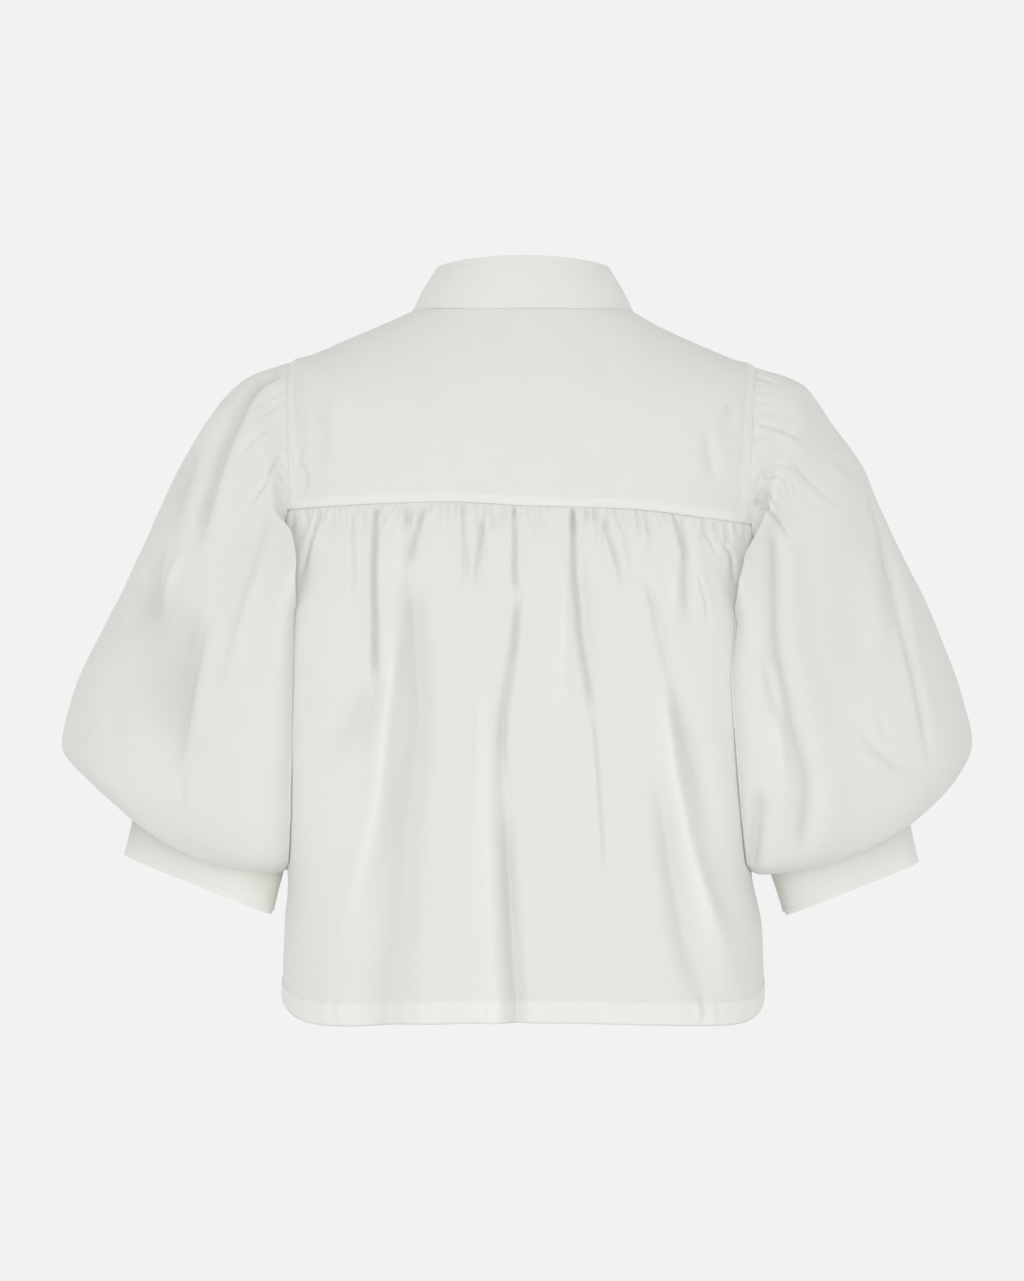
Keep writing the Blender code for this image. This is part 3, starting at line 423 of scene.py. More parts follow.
def armhole_place(turns):
    """The armhole's edge on the wearer's left, as angles round the body and lengths down it. Turns below 0 are in
    front and above 0 behind."""
    reach = np.where(turns < 0, -ARMHOLE_FRONT, ARMHOLE_BACK)
    return reach * np.sin(np.abs(turns)), armhole_down(np.abs(turns))


def armhole_curve(turns):
    return smooth_body(*armhole_place(turns))


def cloth_normals(points, wraps=False):
    """Normals of a grid of points whose rows run down the piece."""
    if wraps:
        around = np.roll(points, -1, axis=1) - np.roll(points, 1, axis=1)
    else:
        around = np.gradient(points, axis=1)
    return unit(np.cross(np.gradient(points, axis=0), around))


def hang(points):
    """Moves points to where the worn shirt hangs: its sides a little to the wearer's left, the right shoulder and
    the yoke seam lower, the hem curved up at the side seams."""
    out, drop = np.abs(points[..., 0]), -points[..., 2]
    side = ease((out - 0.06) / 0.10) * (1 - ease((out - 0.21) / 0.08))
    low = ease((drop - 0.155) / 0.085)
    side = side * (low + (1 - low) * YOKE_SWAY * ease((drop - 0.03) / 0.05)) * (1 - ease((drop - 0.40) / 0.12))
    places, drops = np.array(SEAM_DROPS).T
    lower = through(places, drops)(points[..., 0]) * ease((points[..., 1] - 0.01) / 0.04)
    lower = lower * ease((drop - 0.06) / 0.10) * (1 - ease((drop - 0.17) / 0.10)) * (1 - ease((out - 0.20) / 0.05))
    lower = lower + SHOULDER_DROP * ease((-points[..., 0] - 0.085) / 0.03) * (1 - ease((drop - 0.02) / 0.12))
    corner = np.clip(out / BODY["half_width"](DOWN["hem"]), 0, 1.03) ** np.where(points[..., 0] > 0, *HEM_CORNER)
    lower = lower - HEM_RISE * corner * ease((drop - 0.545) / 0.035)
    return points + np.stack([SWAY * side, 0 * side, -lower], -1)


def column_angles(count, down):
    """Angles round the back at a length down it, closer together in the middle than at the sides."""
    even = np.linspace(-1, 1, count)
    places = 0.5 + 0.5 * (even * (0.80 + 0.20 * even**2))
    return np.interp(places, np.linspace(0, 1, 400), even_angles(0, math.pi, 400, down))


def drawn_in(angle, side, edge, reach=1):
    """Angles along a row whose end at a side seam is drawn in to an armhole's edge, the rest left as they are."""
    return angle + edge * (1 - ease(np.abs(angle - side) / reach))


def even_angles(first, last, count, down):
    """Angles along a row of the body that are the same distance apart."""
    fine = np.linspace(first, last, 400)
    run = run_along(smooth_body(fine, down))
    return np.interp(np.linspace(0, run[-1], count), run, fine)


def stepped(*stops):
    """Rising values from one stop to the next: each stop after the first is (value, how many steps lead to it)."""
    values = [np.array([stops[0]])]
    here = stops[0]
    for value, steps in stops[1:]:
        values.append(np.linspace(here, value, steps + 1)[1:])
        here = value
    return np.concatenate(values)


# ------------------------------ creases


def near_path(x, z, path):
    """For places near a path: the way to its nearest point across it, and how far along the path that is, 0 to 1."""
    knots = np.array(path, float) * MM
    count = len(knots)
    line = through(np.arange(count), knots)(np.linspace(0, count - 1, 5 * count))
    start, step = line[:-1], np.diff(line, axis=0)
    lengths = np.linalg.norm(step, axis=-1)
    run = np.concatenate([[0], np.cumsum(lengths)])
    from_x = x[:, None] - start[:, 0]
    from_z = z[:, None] - start[:, 1]
    part = np.clip((from_x * step[:, 0] + from_z * step[:, 1]) / lengths**2, 0, 1)
    gap_x = from_x - part * step[:, 0]
    gap_z = from_z - part * step[:, 1]
    nearest = np.argmin(gap_x**2 + gap_z**2, axis=1)
    rows = np.arange(len(x))
    along = (run[nearest] + part[rows, nearest] * lengths[nearest]) / run[-1]
    return gap_x[rows, nearest], gap_z[rows, nearest], along


def press(points, creases, outwards=1):
    """What creases do at each point, by where it is as seen from behind: its lift, its sideways pull, and the shade
    painted on it, darker in a trough and on the slope away from the light."""
    x = outwards * points[..., 0].ravel()
    z = -points[..., 2].ravel()
    lift, line, soft = np.zeros_like(x), np.zeros_like(x), np.zeros_like(x)
    pull = np.zeros((len(x), 3))
    for crease in creases:
        width = crease.width * MM * max(1, crease.spread)
        path = np.array(crease.path) * MM
        low, high = path.min(0) - 6 * width, path.max(0) + 6 * width
        near = np.flatnonzero((x > low[0]) & (x < high[0]) & (z > low[1]) & (z < high[1]))
        if not len(near):
            continue
        gap_x, gap_z, along = near_path(x[near], z[near], crease.path)
        width = crease.width * MM * (1 + (crease.spread - 1) * along)
        strength = ease((1 - along) / crease.fade) if crease.fade else 1
        strength = strength * (ease(along / crease.grow) if crease.grow else 1)
        away = np.hypot(gap_x, gap_z)
        rise = crease.rise * MM * strength
        shoulder = 0.22 * bell(away - 2.3 * width, 1.3 * width)
        lift[near] += rise * (bell(away, width) - shoulder)
        # painted shade of a broad crease: darker down in its trough and on its slope away from the light
        if crease.width * MM >= BROAD:
            slope = -2 * rise * gap_x / width**2 * bell(away, width)
            soft[near] += LEE_SHADE * np.clip(outwards * slope, -0.8, 0.8)
            soft[near] -= SINK_SHADE * rise / DEEP * bell(away, 1.1 * width)
        if crease.rise < 0:
            tight = np.clip(-rise / width, 0, 1.2) * TIGHTNESS * bell(away, 1.8 * width)
            pull[near, 0] -= outwards * gap_x * tight
            pull[near, 2] += gap_z * tight
        # painted shade of a sharp crease, as a dark line along its trough
        if crease.rise < 0 and crease.width * MM < BROAD:
            steep = np.clip(-rise / width, 0, 2)
            line[near] = np.maximum(line[near], LINE_SHADE * steep * bell(away, 0.7 * width))
    size = points.shape[:-1]
    return lift.reshape(size), pull.reshape(points.shape), (line + soft).reshape(size)


def puckers(seed, count, first, last, lengths, depths, clusters=()):
    """Places, lengths, depths, leans and widths of fine gathers along a seam, uneven and always the same."""
    random = np.random.default_rng(seed)
    pitch = (last - first) / count
    places = first + pitch * (np.arange(count) + 0.5 + random.uniform(-0.42, 0.42, count))
    length = random.uniform(*lengths, count)
    depth = random.uniform(*depths, count)
    for place, reach, gain in clusters:
        depth = depth * (1 + gain * bell(places - place, reach))
    lean = random.uniform(-0.22, 0.22, count)
    width = pitch * random.uniform(0.20, 0.34, count)
    return np.stack([places, length, depth, lean, width], -1)


def pucker_relief(across, away, gathers, cycle=None):
    """How far fine gathers sink the cloth, by the place along the seam and the distance from it."""
    relief = np.zeros_like(across)
    for place, length, depth, lean, width in gathers:
        near = away < length
        offset = across[near] - place - lean * away[near]
        if cycle:
            offset = (offset + 0.5 * cycle) % cycle - 0.5 * cycle
        strength = ease(1.6 * (1 - away[near] / length)) * ease((away[near] + 0.0004) / 0.0016)
        wide = width * (1 + 0.9 * away[near] / length)
        relief[near] -= depth * strength * (bell(offset, wide) - 0.35 * bell(np.abs(offset) - 2 * wide, wide))
    return relief


def rumple(points, sizes, seed):
    """Soft unevenness: how far each point lies out, from noise of several sizes, each (length, height)."""
    flat = points.reshape(-1, 3)
    total = np.zeros(len(flat))
    for number, (length, height) in enumerate(sizes):
        shift = Vector((seed * 3.1, number * 7.7, seed * 1.3))
        total += height * np.array([noise.noise(Vector(point) / length + shift) for point in flat])
    return total.reshape(points.shape[:-1])


def distance_to(points, curve):
    """How far each point is from a curve, given as a row of points."""
    flat = points.reshape(-1, 3)
    start, step = curve[:-1], np.diff(curve, axis=0)
    size = np.maximum((step**2).sum(-1), 1e-12)
    nearest = np.full(len(flat), 1e9)
    for begin, way, square in zip(start, step, size):
        from_it = flat - begin
        part = np.clip(from_it @ way / square, 0, 1)
        nearest = np.minimum(nearest, ((from_it - part[:, None] * way) ** 2).sum(-1))
    return np.sqrt(nearest).reshape(points.shape[:-1])


# ------------------------------ meshes


def select_only(obj):
    bpy.ops.object.select_all(action="DESELECT")
    obj.select_set(True)
    bpy.context.view_layer.objects.active = obj


def linked(name, data):
    """A new object at the origin, in the scene."""
    obj = bpy.data.objects.new(name, data)
    bpy.context.scene.collection.objects.link(obj)
    return obj


def smooth_object(name, points, faces, material):
    mesh = bpy.data.meshes.new(name)
    mesh.from_pydata(points.tolist(), [], faces)
    mesh.shade_smooth()
    mesh.materials.append(material)
    return linked(name, mesh)


def apply_modifier(obj, kind, **values):
    """Adds a modifier to the object, which is the active one, and applies it."""
    modifier = obj.modifiers.new(kind.lower(), kind)
    for name, value in values.items():
        setattr(modifier, name, value)
    bpy.ops.object.modifier_apply(modifier=modifier.name)


def joined(copies, faces):
    """Copies of one shape's points as one shape: all their points, and all their faces."""
    size = len(copies[0])
    polygons = [tuple(number * size + corner for corner in face) for number in range(len(copies)) for face in faces]
    return np.concatenate(copies), polygons


def sheet_object(name, points, material, wall, layers=0.0, painted_shade=0.0, wraps=False, flip=False, rounded=0.0):
    """A piece of cloth from a grid of points on its outer face, with UVs in metres and its wall inwards."""
    # painted shade: how much darker the cloth's colour is painted in creases and under bands, lighter where it is
    # below 0
    marks = {"layers": np.zeros(points.shape[:2]) + layers, "painted_shade": np.zeros(points.shape[:2]) + painted_shade}
    if flip:
        points = points[:, ::-1]
        marks = {mark: values[:, ::-1] for mark, values in marks.items()}
    rows, columns = points.shape[:2]
    index = np.arange(rows * columns).reshape(rows, columns)
    across = np.concatenate([index, index[:, :1]], axis=1) if wraps else index
    faces = np.stack([across[:-1, :-1], across[1:, :-1], across[1:, 1:], across[:-1, 1:]], -1).reshape(-1, 4)
    obj = smooth_object(name, points.reshape(-1, 3), faces.tolist(), material)
    closed = np.concatenate([points, points[:, :1]], axis=1) if wraps else points
    wide = np.linalg.norm(np.diff(closed, axis=1), axis=-1).mean(axis=0)
    long = np.linalg.norm(np.diff(points, axis=0), axis=-1).mean(axis=1)
    u = np.broadcast_to(np.concatenate([[0], np.cumsum(wide)]), (rows, across.shape[1]))
    v = np.broadcast_to(-np.concatenate([[0], np.cumsum(long)])[:, None], u.shape)
    corner = np.stack([u, v], -1)
    loops = np.stack([corner[:-1, :-1], corner[1:, :-1], corner[1:, 1:], corner[:-1, 1:]], 2).reshape(-1, 2)
    obj.data.uv_layers.new(name="cloth").data.foreach_set("uv", loops.ravel())
    for mark, values in marks.items():
        obj.data.attributes.new(mark, "FLOAT", "POINT").data.foreach_set("value", values.ravel())
    select_only(obj)
    apply_modifier(obj, "SOLIDIFY", thickness=wall, offset=-1)
    if rounded:
        apply_modifier(obj, "BEVEL", width=rounded, segments=2, limit_method="ANGLE", angle_limit=math.radians(50))
    return obj


def sew_in(obj, *nodes, finish="shirting"):
    """Puts a finished piece in place of its solids."""
    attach(obj, "root")
    if nodes:
        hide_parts(*nodes)
    return obj


# ------------------------------ finishes

WEAVE_SHADE = 0.041  # how much the weave and its mottle lighten the cloth on average


def new_material(name, colour, roughness):
    finish = bpy.data.materials.new(name)
    finish.use_nodes = True
    finish.diffuse_color = (*colour, 1)
    shader = finish.node_tree.nodes["Principled BSDF"]
    shader.inputs["Base Color"].default_value = (*colour, 1)
    shader.inputs["Roughness"].default_value = roughness
    return finish, shader


def link(tree, source, target):
    tree.links.new(source, target)


def math_node(tree, operation, first, second):
    node = tree.nodes.new("ShaderNodeMath")
    node.operation = operation
    for socket, value in zip(node.inputs, (first, second)):
        if isinstance(value, (int, float)):
            socket.default_value = value
        else:
            link(tree, value, socket)
    return node.outputs[0]


def attribute_node(tree, name):
    node = tree.nodes.new("ShaderNodeAttribute")
    node.attribute_name = name
    return node.outputs["Fac"]


def range_node(tree, value, before, after, smooth=True):
    """A value moved from one range to another, each (least, most)."""
    node = tree.nodes.new("ShaderNodeMapRange")
    node.interpolation_type = "SMOOTHSTEP" if smooth else "LINEAR"
    for socket, bound in zip(("From Min", "From Max", "To Min", "To Max"), (*before, *after)):
        node.inputs[socket].default_value = bound
    link(tree, value, node.inputs["Value"])
    return node.outputs["Result"]


def tint(tree, shader, colour, factor):
    """Gives a shader a colour made darker or lighter by a factor."""
    node = tree.nodes.new("ShaderNodeVectorMath")
    node.operation = "SCALE"
    node.inputs[0].default_value = colour
    link(tree, factor, node.inputs["Scale"])
    link(tree, node.outputs["Vector"], shader.inputs["Base Color"])


def noise_node(tree, vector, stretch, scale, detail):
    """Noise on the cloth's own UV map, or on the piece's place, drawn out by a stretch."""
    place = tree.nodes.new("ShaderNodeMapping")
    place.inputs["Scale"].default_value = stretch
    link(tree, vector, place.inputs["Vector"])
    grain = tree.nodes.new("ShaderNodeTexNoise")
    grain.inputs["Scale"].default_value = scale
    grain.inputs["Detail"].default_value = detail
    link(tree, place.outputs["Vector"], grain.inputs["Vector"])
    return grain.outputs["Fac"]


def shirting_material(cloth):
    """Plain-woven cotton: uneven threads both ways, a soft mottle, a whiter look where it lies double, and painted
    shade in its creases, gathers and under the balloons.
    """
    finish, shader = new_material("woven_cotton", cloth.colour, 0.88)
    shader.inputs["Sheen Weight"].default_value = 0.08
    shader.inputs["Sheen Roughness"].default_value = 0.6
    shader.inputs["Specular IOR Level"].default_value = 0.25
    tree = finish.node_tree
    place = tree.nodes.new("ShaderNodeTexCoord").outputs
    warp = noise_node(tree, place["UV"], (1, 0.03, 1), 2400, 2)
    weft = noise_node(tree, place["UV"], (0.03, 1, 1), 2200, 2)
    slub = noise_node(tree, place["UV"], (0.12, 1, 1), 420, 3)
    mottle = noise_node(tree, place["Object"], (1, 1, 1), 38, 3)
    threads = math_node(tree, "ADD", warp, weft)
    factor = 1 - WEAVE_SHADE
    # the last term darkens the colour by the painted shade of creases and gathers, and lightens it where that shade is
    # below 0
    for value, share in (
        (threads, 0.020), (mottle, 0.022), (slub, 0.020),
        (attribute_node(tree, "layers"), cloth.double_gain), (attribute_node(tree, "painted_shade"), -cloth.painted_shade_loss),
    ):
        factor = math_node(tree, "ADD", factor, math_node(tree, "MULTIPLY", value, share))
    tint(tree, shader, cloth.colour, factor)
    bump = tree.nodes.new("ShaderNodeBump")
    bump.inputs["Strength"].default_value = 0.35
    bump.inputs["Distance"].default_value = 0.00012
    link(tree, math_node(tree, "ADD", threads, math_node(tree, "MULTIPLY", slub, 1.5)), bump.inputs["Height"])
    link(tree, bump.outputs["Normal"], shader.inputs["Normal"])
    return finish


def thread_material(cloth):
    finish, shader = new_material("sewing_thread", cloth.colour, 0.6)
    shader.inputs["Sheen Weight"].default_value = 0.2
    tree = finish.node_tree
    twist = noise_node(tree, tree.nodes.new("ShaderNodeTexCoord").outputs["Object"], (1, 1, 1), 900, 2)
    tint(tree, shader, cloth.colour, math_node(tree, "ADD", math_node(tree, "MULTIPLY", twist, 0.14), 0.95))
    return finish


def button_material(sewing):
    """Milky shell-like plastic with faint clouding."""
    finish, shader = new_material("pearl_button", sewing.button_colour, 0.22)
    shader.inputs["Coat Weight"].default_value = 0.4
    shader.inputs["Coat Roughness"].default_value = 0.15
    tree = finish.node_tree
    cloud = noise_node(tree, tree.nodes.new("ShaderNodeTexCoord").outputs["Object"], (1, 1, 3), 260, 4)
    tint(tree, shader, sewing.button_colour, range_node(tree, cloud, (0, 1), (0.86, 1.08), smooth=False))
    return finish


def material_of(name, maker, settings):
    return bpy.data.materials.get(name) or maker(settings)


# ------------------------------ body pieces


def edge_distance(points):
    """How far each point is from the nearer end of its row."""
    steps = np.linalg.norm(np.diff(points, axis=1), axis=-1)
    run = np.concatenate([np.zeros((len(points), 1)), np.cumsum(steps, axis=1)], axis=1)
    return np.minimum(run, run[:, -1:] - run)


def armhole_strip(points, width):
    """1 on the strip of seam allowance along both armholes, where the cloth lies double."""
    curve = armhole_curve(np.linspace(-math.pi, math.pi, 160))
    away = np.minimum(distance_to(points, curve), distance_to(points, curve * (-1, 1, 1)))
    return ease((width - away) / STRIP_EDGE), away


def body_grid(angles, downs):
    """The length down the body, the place and the normal at each point of a grid on it."""
    angles, down = np.broadcast_arrays(angles, downs)
    return down, smooth_body(angles, down), body_normal(angles, down)


def hem_relief(to_hem, across, seed, sewing):
    """The turned-up hem: a groove along its stitching, a fuller band under it and a soft lower edge."""
    depth = sewing.hem_depth
    relief = -0.00045 * bell(to_hem - depth, 0.0013) + 0.00035 * ease((depth - to_hem) / 0.002)
    relief -= 0.0007 * bell(to_hem, 0.0012)
    gathers = puckers(seed, HEM_PUCKERS, -0.20, 0.20, (0.010, 0.020), (0.0002, 0.0007),
                      ((0.120, 0.018, 1.6), (-0.145, 0.010, 2.2)))
    return relief + pucker_relief(across, np.abs(to_hem - 0.6 * depth), gathers)


def hemmed(base, down, lift, from_edge, seed, sewing):
    """A body piece's relief with its doubled strip, its hem and its sewn edges, and where it lies double."""
    strip, _ = armhole_strip(base, sewing.allowance)
    to_hem = DOWN["hem"] - down
    lift = lift + (STRIP_RISE * strip + hem_relief(to_hem, base[..., 0], seed, sewing))
    lift -= EDGE_SINK * bell(from_edge, EDGE_WIDTH)
    return lift, np.maximum(strip, ease((sewing.hem_depth - to_hem) / HEM_EDGE))


def back_points(cloth, sewing):
    """The gathered back from just under the yoke's edge to the hem."""
    seam, hem = DOWN["yoke seam"], DOWN["hem"]
    by_arm = armhole_down(np.linspace(math.pi / 2, math.pi, 47))
    to_seam, to_hem = stepped(seam - 0.0045, (seam, 3)), stepped(DOWN["underarm"], (HEM_ROWS, 36), (hem, 12))
    downs = np.concatenate([to_seam[:-1], by_arm, to_hem[1:]])
    ends = (ARMHOLE_BACK * np.sin(armhole_turn(downs)))[:, None]
    angles = column_angles(484, DOWN["underarm"])[None]
    angles = drawn_in(angles, 0, ends) + drawn_in(angles, math.pi, -ends) - angles
    down, base, normal = body_grid(angles, downs[:, None])
    below = down - seam
    held = ease(edge_distance(base) / EDGE_HOLD)
    # the third value is the shade painted into the creases
    lift, pull, painted_shade = press(hang(base), BACK_CREASES)
    gathers = puckers(PUCKER_SEED, BACK_PUCKERS, -0.185, 0.185, (0.010, 0.030), (0.0008, 0.0017),
                      ((0.090, 0.018, 0.9), (-0.060, 0.024, 0.7), (-0.100, 0.012, 0.4)))
    lift = lift * cloth.fold_depth * ease((below + 0.001) / 0.006)
    gathered = pucker_relief(base[..., 0], below, gathers)
    lift += gathered * cloth.pucker_depth
    # painted shade in the fine gathers under the yoke seam
    painted_shade += 0.35 * np.clip(-gathered / 0.0012, 0, 1)
    lift += BACK_FULLNESS * ease(below / 0.030) * ease((0.45 - below) / 0.4) * ease(np.sin(angles) / 0.6)
    lift += rumple(base, ((0.075, 0.0011), (0.028, 0.0004)), 1) * ease(below / 0.02)
    lift = lift * held - 0.0008 * (1 - ease(below / 0.003))
    lift, layers = hemmed(base, down, lift, edge_distance(base), 5, sewing)
    points = hang(base + normal * lift[..., None] + pull * (held * normal[..., 1] ** 2)[..., None])
    # painted light on the back's corners by the sleeves, taken off the painted shade
    (out, drop), (wide, high) = CORNER_PLACE, CORNER_SIZE
    corners = bell(np.abs(points[..., 0]) - out, wide) * bell(points[..., 2] + drop, high)
    return points, layers, painted_shade * held - PAINTED_CORNER_LIGHT * corners


def yoke_points(cloth, sewing):
    """The yoke over both shoulders, from the neck seam to the armholes and the seam across the back."""
    turns = np.concatenate([np.linspace(-SEAM_TURN, 0, 14)[:-1], np.linspace(0, math.pi / 2, 64)])
    left_angles, left_outer = armhole_place(turns)
    middle = even_angles(ARMHOLE_BACK, math.pi - ARMHOLE_BACK, 200, DOWN["yoke seam"])[1:-1]
    angles = np.concatenate([left_angles, middle, math.pi - left_angles[::-1]])
    outer = np.concatenate([left_outer, np.full(len(middle), DOWN["yoke seam"]), left_outer[::-1]])
    parts = stepped(0, (0.85, 44), (1, 22))
    down, base, normal = body_grid(angles, TOP_GAP + (outer - TOP_GAP) * parts[:, None])
    seam = smooth_body(np.linspace(ARMHOLE_BACK, math.pi - ARMHOLE_BACK, 80), DOWN["yoke seam"])
    to_seam = distance_to(base, seam)
    arm, to_arm = armhole_strip(base, sewing.allowance)
    across = ease((sewing.allowance - 0.001 - to_seam) / STRIP_EDGE)
    lift = STRIP_RISE * arm + STRIP_RISE * across - 0.0003 * bell(to_seam, 0.0007)
    lift += rumple(base, ((0.080, 0.0008), (0.035, 0.0003)), 2) * ease(down / 0.02)
    # the third value is the shade painted into the yoke's creases
    worn, _, painted_shade = press(hang(base), YOKE_CREASES)
    held = ease(np.minimum(to_seam, to_arm) / EDGE_HOLD) * ease(normal[..., 1] / 0.3)
    lift += worn * cloth.fold_depth * held
    return hang(base + normal * lift[..., None]), np.maximum(arm, across), painted_shade * held


def front_points(side, cloth, sewing):
    """A front from its shoulder seam to the hem. The left one is side 1, and lies under at the middle."""
    hem = DOWN["hem"]
    arm_top = float(armhole_down(np.array(SEAM_TURN)))
    by_arm = armhole_down(np.linspace(SEAM_TURN, math.pi, 76))
    to_arm, to_hem = stepped(TOP_GAP, (arm_top, 34)), stepped(DOWN["underarm"], (HEM_ROWS, 44), (hem, 14))
    downs = np.concatenate([to_arm[:-1], by_arm, to_hem[1:]])
    ends = np.where(downs < arm_top, SHOULDER_SEAM, -ARMHOLE_FRONT * np.sin(armhole_turn(downs)))
    middles = CENTRE_FRONT - LAP / BODY["half_width"](downs)
    angles = drawn_in(middles[:, None] * np.linspace(1, 0, 108), 0, ends[:, None], FRONT_REACH)
    down, base, normal = body_grid(angles, downs[:, None])
    from_edge = np.linalg.norm(base - base[:, -1:], axis=-1)
    held = ease(from_edge / EDGE_HOLD) * ease((base[..., 0] - 1.6 * LAP) / 0.02)
    # the third value is the shade painted into the front's creases
    lift, pull, painted_shade = press(base, FRONT_CREASES)
    from_shoulder = np.where(down < arm_top, from_edge, 1.0)
    gathers = puckers(PUCKER_SEED + side, 15, 0.035, arm_top - 0.004, (0.012, 0.034), (0.0005, 0.0012))
    gathered = pucker_relief(down, from_shoulder, gathers)
    lift = lift * cloth.fold_depth * held + gathered * cloth.pucker_depth
    # painted shade in the fine gathers at the shoulder seam
    painted_shade += 0.5 * np.clip(-gathered / 0.0012, 0, 1)
    lift += FRONT_FULLNESS * ease((down - 0.08) / 0.08) * ease((hem - down) / 0.3) * held
    lift += rumple(base, ((0.075, 0.0010), (0.028, 0.0004)), 4 + side) * held
    lift -= (LAP_SINK if side > 0 else 0) * ease(1 - (np.abs(base[..., 0]) - LAP) / LAP_EASE)
    lift, layers = hemmed(base, down, lift, from_edge, 6 + side, sewing)
    points = base + normal * lift[..., None] + pull * (held * normal[..., 1] ** 2)[..., None]
    return hang(points * (side, 1, 1)), layers, painted_shade * held


def placket_points(side):
    """The band down a front's edge, on the front's own form."""
    downs = stepped(0.0006, (DOWN["hem"] - 0.0005, 150))
    angles = CENTRE_FRONT + (LAP / BODY["half_width"](downs))[:, None] * np.linspace(-1, 1, 22)
    _, base, normal = body_grid(angles, downs[:, None])
    edge = edge_distance(base)
    lift = 0.0012 - (LAP_SINK if side > 0 else 0)
    lift = lift - 0.0004 * bell(edge, 0.0007) - 0.0003 * bell(edge - 0.0035, 0.0009)
    lift = lift + rumple(base, ((0.030, 0.0003),), 9 + side)
    return base + normal * lift[..., None]


def collar_points():
    """The stand collar, a band round the neck whose right end laps over its left end at the front."""
    end = LAP / BODY_RINGS[0].half_width
    angles = np.linspace(CENTRE_FRONT - end, math.radians(270) + end, 300)
    under = LAP_SINK * ease(1 - (angles - angles[0]) / (4 * end))
    base = smooth_body(angles, 0)
    top = ring_point(angles, *COLLAR_TOP[2:])
    out = unit(base * (1, 1, 0))
    run = run_along(base)
    from_end = np.minimum(run, run[-1] - run)
    corner = 1 - np.sqrt(np.clip(1 - np.clip(1 - from_end / COLLAR_CORNER, 0, 1) ** 2, 0, 1))
    height = np.linspace(1, -0.03, 30)[:, None]
    away = COLLAR_BOW * 4 * height * (1 - height) + 0.0003 * (1 - height) - under
    points = base + (top - base) * (height * (1 - 0.45 * corner))[..., None] + out * away[..., None]
    low, high = COLLAR_STITCHING
    groove = 0.0003 * (bell(height - high, 0.03) + bell(height - low, 0.03))
    lift = rumple(points, ((0.050, 0.0006), (0.020, 0.0002)), 7) - groove
    return points + cloth_normals(points) * lift[..., None]


# ------------------------------ sleeves


def sleeve_ring(ring, angle, side):
    """A ring of a sleeve, by the angle round it from its outer point, 0, by the back to its inner point."""
    outer = np.array([ring.outer_x, 0, ring.outer_z])
    inner = np.array([ring.inner_x, 0, ring.inner_z])
    half = 0.5 * (outer - inner)
    down = np.array([half[2], 0, -half[0]]) / np.linalg.norm(half)
    across, deep = np.cos(angle), np.sin(angle)
    inward = 0.5 - 0.5 * across
    boxy = boxiness(across, deep, 2 + SLEEVE_SQUARE * ease(inward))
    thin = np.where(deep > 0, 1 - inward**12 * ease(ring.behind / 0.04), 1)
    points = 0.5 * (outer + inner) + (across * boxy)[:, None] * half + (ring.sag * deep**2)[:, None] * down
    points[:, 1] += np.where(deep > 0, ring.back, ring.front) * deep * boxy * thin + ring.behind * inward**3
    return points * (side, 1, 1)


def clear_of_body(points, free=1):
    """Moves a sleeve's points out of the body to its side or back, as far as they are free to."""
    middle = (hang(points) - points) * (1, 0, 0)
    from_middle = points - middle
    level = np.linspace(DOWN["yoke seam"], DOWN["hem"], 50)
    height = -BODY["side_z"](level)
    drop = -points[..., 2]
    half, back, front, square = (
        np.interp(drop, height, BODY[column](level)) for column in ("half_width", "back", "front", "square")
    )
    reach = np.where(points[..., 1] > 0, back + BACK_FULLNESS, front + FRONT_FULLNESS) + BODY_CLEARANCE
    limits = np.stack([half + BODY_CLEARANCE, reach], -1)
    place = from_middle[..., :2].copy()
    power = square[..., None]
    within = ((np.abs(place) / limits) ** power).sum(-1) < 1
    for _ in range(4):
        part = np.abs(place) / limits
        over = (part**power).sum(-1) - 1
        slope = np.sign(place) * power * part ** (power - 1) / limits
        size = np.maximum((slope**2).sum(-1), 1e-9)
        place -= (within * np.clip(over / size, -0.0004, 0.0004))[..., None] * slope
    free = free * ease((drop - CLEAR_DROP) / CLEAR_EASE)
    moved = points.copy()
    moved[..., :2] += (place - from_middle[..., :2]) * np.broadcast_to(free, drop.shape)[..., None]
    return moved


def cuff_ends(side, part):
    """A cuff's ring at a part of the way from its seam to its lower edge."""
    seam, edge = np.array(CUFFS[side])
    return SleeveRing(*(seam * (1 - part) + edge * part), CUFF_DEPTH, CUFF_DEPTH, 0, 0)


def cuff_middle(side, part):
    ends = cuff_ends(side, part)
    return 0.5 * np.array([side * (ends.outer_x + ends.inner_x), 0, ends.outer_z + ends.inner_z])


